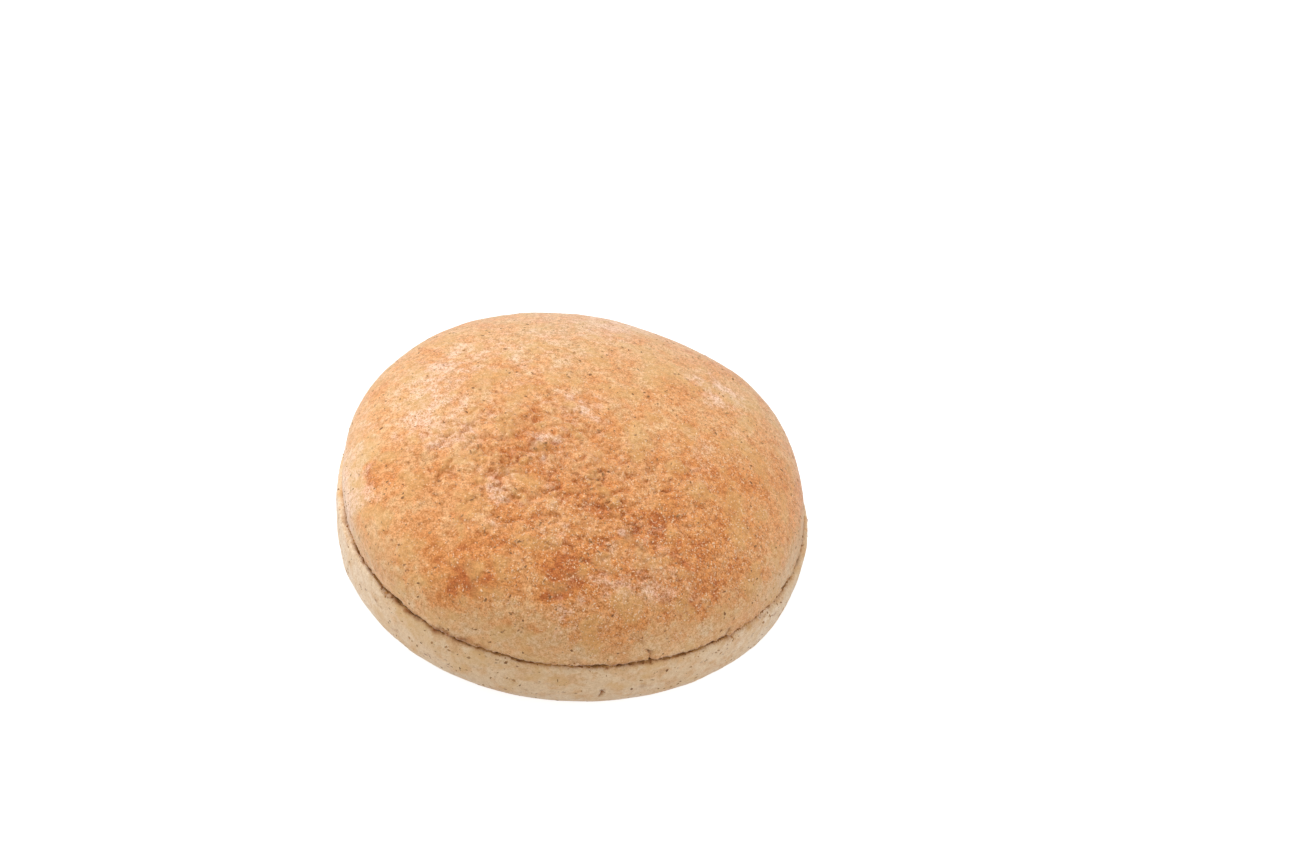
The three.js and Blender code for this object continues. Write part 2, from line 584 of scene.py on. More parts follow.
class Swatch:
    """Shader groups that several finishes share, each made once."""

    GRAIN_ROUGHNESS = 0.6
    FINE_SHARE = 0.65
    BROADER = 3.1
    SPOT_SIZES = (0.6, 1.3)

    def __init__(self) -> None:
        """Makes the groups."""
        self.grain = self._grain()
        self.spots = self._spots()

    def _grain(self) -> bpy.types.NodeTree:
        """Fine baked grain: a lightness and a height around a half. The lightness follows the height, so
        colour drawn from it is partly painted highlight on the raised grain and painted shade in the low
        grain.

        Returns:
            The group.
        """
        inputs = {
            "Place": ("NodeSocketVector", None),
            "Width": ("NodeSocketFloat", 0.6),
            "Seed": ("NodeSocketFloat", 0.0),
        }
        outputs = {"Lightness": "NodeSocketFloat", "Height": "NodeSocketFloat"}
        wiring = new_tree("Baked grain", "ShaderNodeTree", inputs, outputs)
        given = wiring.add("NodeGroupInput").outputs
        place, width, seed = given["Place"], given["Width"], given["Seed"]
        fine = wiring.noise(place, width, seed, roughness=self.GRAIN_ROUGHNESS)
        broad = wiring.noise(place, wiring.product(width, self.BROADER), seed, detail=1.0)
        shares = wiring.product(fine, self.FINE_SHARE), wiring.product(broad, 1 - self.FINE_SHARE)
        out = wiring.add("NodeGroupOutput").inputs
        wiring.feed(out["Lightness"], wiring.total(*shares))
        wiring.feed(out["Height"], fine)
        return wiring.tree

    def _spots(self) -> bpy.types.NodeTree:
        """Scattered spots of different widths: how far inside one each place lies.

        Returns:
            The group.
        """
        inputs = {
            "Place": ("NodeSocketVector", None),
            "Spacing": ("NodeSocketFloat", 2.0),
            "Share": ("NodeSocketFloat", 0.4),
            "Reach": ("NodeSocketFloat", 0.16),
            "Core": ("NodeSocketFloat", 0.5),
            "Seed": ("NodeSocketFloat", 0.0),
        }
        wiring = new_tree("Scattered spots", "ShaderNodeTree", inputs, {"Spot": "NodeSocketFloat"})
        given = wiring.add("NodeGroupInput").outputs
        cells = wiring.cells(given["Place"], given["Spacing"], given["Seed"])
        draw = wiring.run("ShaderNodeSeparateColor", {"Color": cells.outputs["Color"]}, "Red")
        chosen = wiring.math("LESS_THAN", draw, given["Share"])
        size = wiring.step(draw, 0.0, given["Share"], *self.SPOT_SIZES)
        reach = wiring.product(given["Reach"], size)
        inside = wiring.step(cells.outputs["Distance"], reach, wiring.product(reach, given["Core"]))
        wiring.feed(wiring.add("NodeGroupOutput").inputs["Spot"], wiring.product(inside, chosen))
        return wiring.tree


class Finish:
    """What the finishes share: a new material, its wiring, and places in millimetres."""

    def __init__(self, name: str) -> None:
        """Makes the material.

        Args:
            name: the material's name.
        """
        self.made = bpy.data.materials.new(name)
        self.made.use_nodes = True
        self.wiring = Wiring(self.made.node_tree)
        self.shader = self.made.node_tree.nodes["Principled BSDF"]
        place = self.wiring.add("ShaderNodeTexCoord").outputs["Object"]
        self.place = self.wiring.vector("SCALE", place, 1 / MM)

    def mark(self, mark: Mark) -> Socket:
        """Reads a mark off the mesh."""
        return self.wiring.add("ShaderNodeAttribute", attribute_name=mark.value).outputs["Fac"]

    def _group(self, tree: bpy.types.NodeTree, feeds: dict[str, Feed]) -> bpy.types.Node:
        """Places a shared group and feeds its inputs.

        Args:
            tree: the group.
            feeds: names of its inputs, and what goes into each.

        Returns:
            The group's node.
        """
        node = self.wiring.add("ShaderNodeGroup", node_tree=tree)
        for name, value in feeds.items():
            self.wiring.feed(node.inputs[name], value)
        return node

    def grain(self, swatch: Swatch, width: float, seed: float) -> tuple[Socket, Socket]:
        """The lightness and the height of baked grain of a width, in millimetres."""
        node = self._group(swatch.grain, {"Place": self.place, "Width": width, "Seed": seed})
        return node.outputs["Lightness"], node.outputs["Height"]

    def spots(self, swatch: Swatch, place: Socket, spots: Spots, seed: float) -> Socket:
        """Scattered spots.

        Args:
            swatch: holds the shared group.
            place: where they are read, in millimetres.
            spots: how they are scattered.
            seed: picks the pattern.

        Returns:
            How far inside a spot each place lies.
        """
        feeds = {"Place": place, "Spacing": spots.spacing, "Share": spots.share}
        feeds |= {"Reach": spots.reach, "Core": spots.core, "Seed": seed}
        return self._group(swatch.spots, feeds).outputs["Spot"]

    def set(self, **values: Feed) -> None:
        """Feeds the shader's sockets, named with an underscore for each space."""
        for name, value in values.items():
            self.wiring.feed(self.shader.inputs[name.replace("_", " ")], value)

    def bumped(self, height: Socket, distance: float) -> None:
        """Roughens the shading by a height and the distance that it spans, in millimetres."""
        feeds = {"Strength": 1.0, "Distance": distance * MM, "Height": height}
        self.wiring.feed(self.shader.inputs["Normal"], self.wiring.run("ShaderNodeBump", feeds))


@dataclass(frozen=True)
class CrustFinish:
    """Baked crust, from pale dough to deep brown, with flour, pores and bran; with painted sheen in its
    flour veil, painted highlights on pale granules and raised grain, and painted shade in hollows, low grain
    and the slit.
    """

    name: str
    swatch: Swatch
    pale: Tone = Tone(228, 194, 152)
    tan: Tone = Tone(228, 176, 120)
    golden: Tone = Tone(226, 158, 96)
    toasted: Tone = Tone(218, 138, 68)
    deep: Tone = Tone(196, 108, 44)
    browning_stops: tuple[float, ...] = (0.0, 0.28, 0.52, 0.76, 1.0)
    # the veil's tone: flour, and a painted sheen on the rims
    flour_and_sheen_tone: Tone = Tone(246, 208, 180)
    # pale granules: their near-white tone is partly a painted highlight
    highlit_granule: Tone = Tone(255, 218, 176)
    pore: Tone = Tone(182, 100, 44)
    yellow: Tone = Tone(224, 176, 106)
    bran: Tone = Tone(150, 88, 40)
    smear: Tone = Tone(180, 122, 66)
    # brown stain at the slit and in the splits, partly painted shade of their gaps
    stain_and_shade: Tone = Tone(160, 94, 36)
    flour_and_sheen_cover: float = 0.75
    flour_and_sheen_least: float = 0.3
    flour_and_sheen_grain_span: Span = (0.3, 0.6)
    highlit_granules: float = 0.55
    sandy_highlit_granules: float = 0.45
    highlit_granule_spots: Spots = Spots(0.6, 0.6, 0.34, 0.3)
    pores: float = 0.28
    sandy_pores: float = 0.2
    pore_spots: Spots = Spots(0.85, 0.4, 0.28, 0.2)
    spot_bend: Bend = Bend(0.6, 0.2)
    specks: float = 0.62
    speck_spots: Spots = Spots(1.6, 0.6, 0.2, 0.2)
    smears: float = 0.25
    smear_width: float = 1.8
    smear_edge: Span = (0.58, 0.74)
    tear_bend: Bend = Bend(0.5, 0.35)
    tear_stretch: tuple[float, float, float] = (0.6, 0.6, 1.0)
    yellowing: float = 0.4
    yellow_width: float = 6.0
    yellow_edge: Span = (0.5, 0.66)
    # painted shade: how strongly the pore tone is laid into the hollows of the relief
    hollow_shade: float = 0.28
    stain_and_shade_width: float = 2.2
    stain_and_shade_edge: Span = (0.38, 0.62)
    stain_and_shade_least: float = 0.4
    pinch_fading: float = 0.75
    grain_width: float = 0.36
    # how the grain's lightness swings the colour: painted highlight on raised grain, painted shade on low
    # grain
    grain_shade_span: Span = (0.34, 0.66)
    grain_shade_warmth: tuple[float, float, float] = (0.75, 1.1, 1.7)
    grain_shade_browning: float = 0.2
    grain_shade_contrast: Span = (-0.3, 0.36)
    sandy_grain_shade_contrast: float = 0.25
    wall_contrast: float = 0.65
    roughness: Span = (0.72, 0.52)
    roughness_span: Span = (0.3, 0.7)
    ior: float = 1.45
    sheen: float = 0.42
    sheen_roughness: float = 0.4
    bump_height: float = 0.16
    seed: float = 3.0

    def material(self) -> bpy.types.Material:
        """Makes the crust's material.

        Returns:
            The new material.
        """
        finish = Finish(self.name)
        wiring = finish.wiring
        lightness, height = finish.grain(self.swatch, self.grain_width, self.seed)
        baked = wiring.step(finish.mark(Mark.RISE), 0.0, 1.0, self.wall_contrast, 1.0)
        flour_and_sheen_grain = wiring.step(lightness, *self.flour_and_sheen_grain_span, self.flour_and_sheen_least, 1.0)
        veil = wiring.product(finish.mark(Mark.BLOOM), flour_and_sheen_grain, self.flour_and_sheen_cover)
        colour = wiring.tint(veil, self._browned(finish, lightness), self.flour_and_sheen_tone.linear())
        # The lightness follows the bump, so this swing paints raised grain lighter and low grain darker and
        # warmer: painted highlight and shade.
        stronger = wiring.math("MULTIPLY_ADD", finish.mark(Mark.SANDY), self.sandy_grain_shade_contrast, 1.0)
        swing = wiring.product(wiring.step(lightness, *self.grain_shade_span, *self.grain_shade_contrast), baked, stronger)
        parts = zip(("Red", "Green", "Blue"), self.grain_shade_warmth)
        shade = {part: wiring.math("MULTIPLY_ADD", swing, warmth, 1.0) for part, warmth in parts}
        colour = wiring.tint(1.0, colour, wiring.run("ShaderNodeCombineColor", shade), "MULTIPLY")
        finish.set(
            Base_Color=self._speckled(finish, baked, colour),
            Roughness=wiring.step(lightness, *self.roughness_span, *self.roughness),
            IOR=self.ior,
            Sheen_Weight=self.sheen,
            Sheen_Roughness=self.sheen_roughness,
        )
        finish.bumped(height, self.bump_height)
        return finish.made

    def _seed(self, layer: Layer) -> float:
        """The seed of one of the colour's patterns."""
        return self.seed + layer.value

    def _browned(self, finish: Finish, lightness: Socket) -> Socket:
        """The dough's colour by how far it is toasted.

        Args:
            finish: the material in the making.
            lightness: the fine grain's lightness.

        Returns:
            The browned colour.
        """
        wiring = finish.wiring
        # The low grain is browned further: painted shade in its pits.
        uneven = wiring.product(wiring.math("SUBTRACT", 0.5, lightness), self.grain_shade_browning)
        node = wiring.add("ShaderNodeValToRGB")
        wiring.feed(node.inputs["Fac"], wiring.total(finish.mark(Mark.TOAST), uneven))
        tones = (self.pale, self.tan, self.golden, self.toasted, self.deep)
        elements = node.color_ramp.elements
        while len(elements) < len(tones):
            elements.new(0.5)
        for element, position, tone in zip(elements, self.browning_stops, tones):
            element.position = position
            element.color = tone.linear()
        return node.outputs["Color"]

    def _speckled(self, finish: Finish, baked: Socket, colour: Socket) -> Socket:
        """Adds pale granules that are partly painted highlights, pores, smears and specks of bran, painted
        shade in the hollows, and along the slice and in its splits a brown stain that is partly painted
        shade.

        Args:
            finish: the material in the making.
            baked: how strongly the baked grain shows.
            colour: the crust under them.

        Returns:
            The speckled colour.
        """
        wiring, swatch = finish.wiring, self.swatch
        sandy = finish.mark(Mark.SANDY)
        bent = wiring.pushed(finish.place, self.spot_bend, self._seed(Layer.SPOT_BEND))
        torn = wiring.pushed(finish.place, self.tear_bend, self._seed(Layer.TEAR))
        torn = wiring.vector("MULTIPLY", torn, self.tear_stretch)
        highlit_granules = finish.spots(swatch, bent, self.highlit_granule_spots, self._seed(Layer.HIGHLIT_GRANULE))
        pores = finish.spots(swatch, bent, self.pore_spots, self._seed(Layer.PORE))
        specks = finish.spots(swatch, torn, self.speck_spots, self._seed(Layer.SPECK))
        smears = wiring.noise(torn, self.smear_width, self._seed(Layer.SMEAR), detail=4.0, roughness=0.7)
        yellowed = wiring.noise(finish.place, self.yellow_width, self._seed(Layer.YELLOW), detail=1.0)
        ragged = wiring.noise(finish.place, self.stain_and_shade_width, self._seed(Layer.STAIN_AND_SHADE), detail=3.0)
        ragged = wiring.step(ragged, *self.stain_and_shade_edge, self.stain_and_shade_least, 1.0)
        open_lip = wiring.math("MULTIPLY_ADD", finish.mark(Mark.PINCH), -self.pinch_fading, 1.0)
        highlit_share = wiring.total(self.highlit_granules, wiring.product(sandy, self.sandy_highlit_granules))
        porous = wiring.total(self.pores, wiring.product(sandy, self.sandy_pores))
        for share, tone in (
            (wiring.product(wiring.step(yellowed, *self.yellow_edge), self.yellowing), self.yellow),
            # painted shade in the hollows
            (wiring.product(finish.mark(Mark.HOLLOW), self.hollow_shade), self.pore),
            # pale granules: partly painted highlights
            (wiring.product(highlit_granules, baked, highlit_share), self.highlit_granule),
            (wiring.product(pores, baked, porous), self.pore),
            (wiring.product(wiring.step(smears, *self.smear_edge), self.smears), self.smear),
            (wiring.product(specks, self.specks), self.bran),
            # along the slit, fainter where it is pinched, and in the splits: brown stain, partly painted
            # shade of the gaps
            (wiring.product(finish.mark(Mark.LIP), open_lip, ragged), self.stain_and_shade),
            (wiring.product(finish.mark(Mark.CRACK), ragged), self.stain_and_shade),
        ):
            colour = wiring.tint(share, colour, tone.linear())
        return colour


@dataclass(frozen=True)
class CrumbFinish:
    """The soft inside of the bun, where it was cut."""

    swatch: Swatch
    crumb: Tone = Tone(200, 150, 88)
    pore: Tone = Tone(150, 96, 46)
    bran: Tone = Tone(118, 84, 54)
    pore_edge: Span = (0.35, 0.6)
    specks: float = 0.8
    speck_spots: Spots = Spots(2.0, 0.4, 0.16, 0.5)
    roughness: Span = (0.95, 0.8)
    roughness_span: Span = (0.2, 0.8)
    grain_width: float = 1.1
    bump_height: float = 0.4
    seed: float = 0.0

    def material(self) -> bpy.types.Material:
        """Makes the crumb's material.

        Returns:
            The new material.
        """
        finish = Finish("cut_crumb")
        wiring = finish.wiring
        lightness, height = finish.grain(self.swatch, self.grain_width, self.seed)
        specks = finish.spots(self.swatch, finish.place, self.speck_spots, self.seed)
        # the pore tone goes where the grain is low: painted shade in the crumb's pits
        solid = wiring.step(lightness, *self.pore_edge)
        colour = wiring.tint(solid, self.pore.linear(), self.crumb.linear())
        colour = wiring.tint(wiring.product(specks, self.specks), colour, self.bran.linear())
        roughness = wiring.step(lightness, *self.roughness_span, *self.roughness)
        finish.set(Base_Color=colour, Roughness=roughness)
        finish.bumped(height, self.bump_height)
        return finish.made


@dataclass(frozen=True)
class BitFinish:
    """Bran, granules or crumbs: a tone that drifts to another from bit to bit."""

    name: str
    light: Tone
    dark: Tone
    roughness: Span = (0.7, 0.9)
    roughness_span: Span = (0.2, 0.8)
    drift_width: float = 0.9
    drift_edge: Span = (0.35, 0.65)
    seed: float = 5.0

    def material(self) -> bpy.types.Material:
        """Makes the bits' material.

        Returns:
            The new material.
        """
        finish = Finish(self.name)
        wiring = finish.wiring
        drift = wiring.noise(finish.place, self.drift_width, self.seed, detail=1.0)
        lighter = wiring.step(drift, *self.drift_edge)
        finish.set(
            Base_Color=wiring.tint(lighter, self.dark.linear(), self.light.linear()),
            Roughness=wiring.step(drift, *self.roughness_span, *self.roughness),
        )
        return finish.made


class ReliefTree:
    """The rule that raises the crust's relief and browns it.

    Each size is a named input of the tree, in millimetres. Of the patterns' own values, bends, clouds,
    waves, teeth and crumbs are in millimetres too, and the rest are shares.
    """

    SIZES = {
        "Lump Height": 0.95,
        "Lump Width": 2.7,
        "Fold Width": 8.0,
        "Dent Depth": 0.75,
        "Dent Spacing": 3.4,
        "Pit Depth": 0.38,
        "Pit Spacing": 1.7,
        "Grain Height": 0.6,
        "Grain Width": 0.9,
        "Swell Height": 1.0,
        "Swell Width": 6.0,
        "Lip Roughness": 0.8,
        "Lip Swelling": 0.06,
        "Pinch Height": 0.18,
        "Crack Depth": 0.7,
        "Wall Browning": 0.28,
        "Mottle": 1.0,
    }
    WRINKLE_TURN = math.radians(22)
    WRINKLE_STRETCH = (0.78, 1.0, 1.0)
    LUMP_BEND = Bend(2.2, 0.9)
    LUMP_GAP = 0.16
    LUMP_CLOUDS = 4.0
    LUMP_SHOWN = (0.42, 0.58)
    FOLD_BEND = Bend(3.0, 0.8)
    FOLD_GAP = 0.06
    FOLD_BOTTOM = 0.5
    CREASE_CLOUDS = 1.5
    CREASE_SHOWN = (0.36, 0.56)
    DENT_BEND = Bend(1.4, 0.7)
    DENT_DRAW = (0.55, 1.0)
    DENT_REACH = 0.34
    DENT_CORE = 0.15
    PIT_BEND = Bend(0.9, 0.3)
    PIT_DRAW = (0.4, 1.0)
    PIT_REACH = 0.4
    PLAIN_PITS = 0.2
    PLAIN_GRAIN = 0.35
    SANDY_GRAIN = 0.65
    WRINKLED_GRAIN = 0.4
    PLAIN_SWELL = 0.3
    HOLLOW_DEPTH = 0.8
    # painted shade: how much further the hollows are browned
    HOLLOW_SHADE_BROWNING = 0.12
    LIP_WAVES = 5.0
    LIP_TEETH = 1.3
    LIP_SWING = 2.0
    EDGE_WAVES = 5.0
    EDGE_CRUMBS = 1.1
    EDGE_WAVE_SWING = 0.7
    EDGE_CRUMB_SWING = 0.55
    EDGE_SPAN = (0.28, 0.72)
    BROWN_BEND = Bend(2.5, 1.0)
    BROWN_CLOUDS = (
        (Pattern.BROAD_CLOUD, 13.0, 0.15),
        (Pattern.CLOUD, 5.0, 0.2),
        (Pattern.FINE_CLOUD, 1.9, 0.16),
    )
    BROWN_SPAN = (0.36, 0.64)
    WALL_MOTTLE = 0.8
    DOME_MOTTLE = 0.2
    FLOUR_AND_SHEEN_CLOUDS = 3.4
    FLOUR_AND_SHEEN_LIFT = 0.4
    FLOUR_AND_SHEEN_SPAN = (0.62, 0.88)
    FLOUR_AND_SHEEN_FULLNESS = 1.6
    CRUMB_LIMIT = 0.02
    FINE_NOISE = {"detail": 2.0, "roughness": 0.6}
    PLAIN_NOISE = {"detail": 1.0, "roughness": 0.5}

    def __init__(self) -> None:
        """Makes the tree."""
        inputs = {"Skin": ("NodeSocketGeometry", None), "Seed": ("NodeSocketFloat", 0.0)}
        inputs |= {name: ("NodeSocketFloat", value) for name, value in self.SIZES.items()}
        inputs |= {"Crust": ("NodeSocketMaterial", None), "Crumb": ("NodeSocketMaterial", None)}
        self.wiring = new_tree("Crust relief", "GeometryNodeTree", inputs, {"Skin": "NodeSocketGeometry"})
        self.given = self.wiring.add("NodeGroupInput").outputs
        self.place = self.wiring.vector("SCALE", self.wiring.run("GeometryNodeInputPosition", {}), 1 / MM)
        self.laid = self._laid()
        self._build()

    @property
    def tree(self) -> bpy.types.NodeTree:
        """The finished tree."""
        return self.wiring.tree

    def _mark(self, mark: Mark) -> Socket:
        """Reads a mark off the skin."""
        return self.wiring.run("GeometryNodeInputNamedAttribute", {"Name": mark.value}, data_type="FLOAT")

    def _seed(self, pattern: Pattern) -> Socket:
        """A seed of its own for each pattern."""
        return self.wiring.math("ADD", self.given["Seed"], pattern.value)

    def _signed(self, place: Socket, width: Feed, pattern: Pattern, fine: bool = True) -> Socket:
        """Noise from -0.5 to 0.5.

        Args:
            place: where it is read, in millimetres.
            width: size of its clouds, in millimetres.
            pattern: picks its seed.
            fine: whether it has finer layers.

        Returns:
            The noise.
        """
        layers = self.FINE_NOISE if fine else self.PLAIN_NOISE
        noise = self.wiring.noise(place, width, self._seed(pattern), **layers)
        return self.wiring.math("SUBTRACT", noise, 0.5)

    def _laid(self) -> Socket:
        """Places turned and stretched so that wrinkles run the way the crust was drawn.

        Returns:
            The places, in millimetres.
        """
        feeds = {"Vector": self.place, "Angle": -self.WRINKLE_TURN}
        turned = self.wiring.run("ShaderNodeVectorRotate", feeds, rotation_type="Z_AXIS")
        return self.wiring.vector("MULTIPLY", turned, self.WRINKLE_STRETCH)

    def _build(self) -> None:
        """Wires the tree: heights and browning from marks, then the moved skin and its two materials."""
        w, given = self.wiring, self.given
        wrinkled, sandy, crust = self._mark(Mark.WRINKLED), self._mark(Mark.SANDY), self._mark(Mark.CRUST)
        furrows = w.product(w.math("SUBTRACT", 1.0, w.product(self._lumps(), self._folds())), wrinkled)
        dents = w.math("MAXIMUM", w.product(self._dents(), wrinkled), self._creased())
        pitted = w.math("MINIMUM", w.total(self.PLAIN_PITS, wrinkled, sandy), 1.0)
        pits = w.product(self._pits(), pitted)
        grainy = w.product(sandy, self.SANDY_GRAIN), w.product(wrinkled, self.WRINKLED_GRAIN)
        grain = self._signed(self.place, given["Grain Width"], Pattern.GRAIN)
        swell = self._signed(self.place, given["Swell Width"], Pattern.SWELL)
        relief = w.total(
            w.product(-1.0, given["Lump Height"], furrows),
            w.product(-1.0, given["Dent Depth"], dents),
            w.product(-1.0, given["Pit Depth"], pits),
            w.product(given["Grain Height"], grain, w.total(self.PLAIN_GRAIN, *grainy)),
            w.product(given["Swell Height"], swell, w.total(self.PLAIN_SWELL, wrinkled)),
        )
        swelling = w.total(
            given["Lip Swelling"],
            w.product(given["Lip Roughness"], self._ragged()),
            w.product(given["Pinch Height"], self._mark(Mark.PINCH)),
        )
        height = w.total(
            w.product(relief, crust),
            w.product(swelling, self._mark(Mark.LIP)),
            w.product(-1.0, given["Crack Depth"], self._mark(Mark.CRACK)),
        )
        hollow = w.math("MAXIMUM", dents, w.product(furrows, self.HOLLOW_DEPTH))
        hollow = w.math("MAXIMUM", hollow, w.product(pits, self.HOLLOW_DEPTH))
        risen = self._risen()
        skin = self._stored(given["Skin"], Mark.HOLLOW, hollow)
        skin = self._stored(skin, Mark.TOAST, self._browning(risen, hollow))
        skin = self._stored(skin, Mark.BLOOM, self._veil())
        skin = self._stored(skin, Mark.RISE, risen)
        offset = w.vector("SCALE", w.run("GeometryNodeInputNormal", {}), w.product(height, MM))
        skin = w.run("GeometryNodeSetPosition", {"Geometry": skin, "Offset": offset})
        skin = w.run("GeometryNodeSetShadeSmooth", {"Geometry": skin})
        skin = w.run("GeometryNodeRealizeInstances", {"Geometry": skin})
        skin = w.run("GeometryNodeSetMaterial", {"Geometry": skin, "Material": given["Crust"]})
        inside = w.math("LESS_THAN", crust, self.CRUMB_LIMIT)
        feeds = {"Geometry": skin, "Material": given["Crumb"], "Selection": inside}
        w.feed(w.add("NodeGroupOutput").inputs["Skin"], w.run("GeometryNodeSetMaterial", feeds))

    def _stored(self, skin: Socket, mark: Mark, value: Socket) -> Socket:
        """Stores a mark on the skin for its material."""
        feeds = {"Geometry": skin, "Name": mark.value, "Value": value}
        return self.wiring.run("GeometryNodeStoreNamedAttribute", feeds, data_type="FLOAT", domain="POINT")

    def _lumps(self) -> Socket:
        """Swollen lumps of skin, with creases between them that come and go.

        Returns:
            1 on top of a lump, 0 at the bottom of a crease.
        """
        w = self.wiring
        place = w.pushed(self.laid, self.LUMP_BEND, self._seed(Pattern.LUMP_BEND))
        cells = w.cells(place, self.given["Lump Width"], self._seed(Pattern.LUMP), "DISTANCE_TO_EDGE")
        cloud = w.noise(self.place, self.LUMP_CLOUDS, self._seed(Pattern.LUMP_CLOUD), detail=1.0)
        crease = w.step(cells.outputs["Distance"], self.LUMP_GAP, 0.0)
        return w.math("SUBTRACT", 1.0, w.product(w.step(cloud, *self.LUMP_SHOWN), crease))

    def _folds(self) -> Socket:
        """Long creases in the skin.

        Returns:
            A half at the bottom of a crease, 1 between them.
        """
        w = self.wiring
        place = w.pushed(self.laid, self.FOLD_BEND, self._seed(Pattern.FOLD_BEND))
        away = w.math("ABSOLUTE", self._signed(place, self.given["Fold Width"], Pattern.FOLD, fine=False))
        return w.step(away, 0.0, self.FOLD_GAP, self.FOLD_BOTTOM, 1.0)

    def _creased(self) -> Socket:
        """The marked creases, broken up.

        Returns:
            1 at the bottom of a crease, 0 beside it.
        """
        w = self.wiring
        cloud = w.noise(self.place, self.CREASE_CLOUDS, self._seed(Pattern.CREASE))
        return w.product(self._mark(Mark.CREASE), w.step(cloud, *self.CREASE_SHOWN))

    def _holes(
        self, place: Socket, spacing: Socket, pattern: Pattern, draw: Span, reach: float
    ) -> tuple[Socket, Socket]:
        """Scattered holes of different widths.

        Args:
            place: where they are read, in millimetres.
            spacing: how far apart they lie, in millimetres.
            pattern: picks their seed.
            draw: the draws, from 0 to 1, that make the narrowest and the widest.
            reach: half the width of the widest, as a share of the spacing.

        Returns:
            The distance from the nearest hole's middle, and that hole's reach.
        """
        cells = self.wiring.cells(place, spacing, self._seed(pattern))
        colour = {"Color": cells.outputs["Color"]}
        drawn = self.wiring.run("FunctionNodeSeparateColor", colour, "Red", mode="RGB")
        return cells.outputs["Distance"], self.wiring.step(drawn, *draw, 0.0, reach)

    def _dents(self) -> Socket:
        """Scattered dents, longer along the wrinkles than across.

        Returns:
            1 at the bottom of a dent, 0 beside it.
        """
        w, spacing = self.wiring, self.given["Dent Spacing"]
        place = w.pushed(self.laid, self.DENT_BEND, self._seed(Pattern.DENT_BEND))
        away, reach = self._holes(place, spacing, Pattern.DENT, self.DENT_DRAW, self.DENT_REACH)
        return w.step(away, reach, w.product(reach, self.DENT_CORE))

    def _pits(self) -> Socket:
        """Scattered small round pits of different widths.

        Returns:
            1 at the bottom of a pit, 0 beside it.
        """
        w, spacing = self.wiring, self.given["Pit Spacing"]
        place = w.pushed(self.place, self.PIT_BEND, self._seed(Pattern.PIT_BEND))
        away, reach = self._holes(place, spacing, Pattern.PIT, self.PIT_DRAW, self.PIT_REACH)
        return w.step(away, reach, 0.0)

    def _ragged(self) -> Socket:
        """The torn edge of the slice: broad waves and fine teeth.

        Returns:
            How far it stands out or draws back.
        """
        broad = self._signed(self.place, self.LIP_WAVES, Pattern.LIP_WAVE, fine=False)
        fine = self._signed(self.place, self.LIP_TEETH, Pattern.LIP_TOOTH)
        swings = (self.wiring.product(part, self.LIP_SWING) for part in (broad, fine))
        return self.wiring.total(*swings)

    def _risen(self) -> Socket:
        """The browned crust, up to its ragged, crumbly edge.

        Returns:
            1 on the browned crust, 0 short of its edge.
        """
        w = self.wiring
        ragged = self._signed(self.place, self.EDGE_WAVES, Pattern.EDGE_WAVE)
        crumbly = self._signed(self.place, self.EDGE_CRUMBS, Pattern.EDGE_CRUMB)
        ragged, crumbly = w.product(ragged, self.EDGE_WAVE_SWING), w.product(crumbly, self.EDGE_CRUMB_SWING)
        return w.step(w.total(self._mark(Mark.RISE), ragged, crumbly), *self.EDGE_SPAN)

    def _browning(self, risen: Socket, hollow: Socket) -> Socket:
        """How far the crust is toasted: by the marks and in patches, with painted shade that browns the
        hollows further.

        Args:
            risen: where the browned crust is.
            hollow: how deep a place lies.

        Returns:
            The browning.
        """
        w, given = self.wiring, self.given
        more = w.math("SUBTRACT", self._mark(Mark.TOAST), given["Wall Browning"])
        # painted shade: the hollows are browned further
        hollow_shading = w.product(hollow, self.HOLLOW_SHADE_BROWNING)
        toast = w.total(given["Wall Browning"], w.product(risen, more), hollow_shading)
        place = w.pushed(self.place, self.BROWN_BEND, self._seed(Pattern.BROWN_BEND))
        mottled = w.total(self.WALL_MOTTLE, w.product(risen, self.DOME_MOTTLE))
        for pattern, width, strength in self.BROWN_CLOUDS:
            cloud = w.step(w.noise(place, width, self._seed(pattern)), *self.BROWN_SPAN, -0.5, 0.5)
            toast = w.total(toast, w.product(cloud, strength, given["Mottle"], mottled))
        return toast

    def _veil(self) -> Socket:
        """Flour that lies in powdery patches, and a painted sheen along the rims and the heel's sides, both
        denser where the skin is marked for them.

        Returns:
            How much of it covers the skin.
        """
        w = self.wiring
        bloom = self._mark(Mark.BLOOM)
        cloud = w.noise(self.place, self.FLOUR_AND_SHEEN_CLOUDS, self._seed(Pattern.FLOUR_AND_SHEEN_PATTERN), detail=4.0, roughness=0.7)
        patches = w.step(w.total(cloud, w.product(bloom, self.FLOUR_AND_SHEEN_LIFT)), *self.FLOUR_AND_SHEEN_SPAN)
        return w.product(patches, w.math("MINIMUM", w.product(bloom, self.FLOUR_AND_SHEEN_FULLNESS), 1.0))


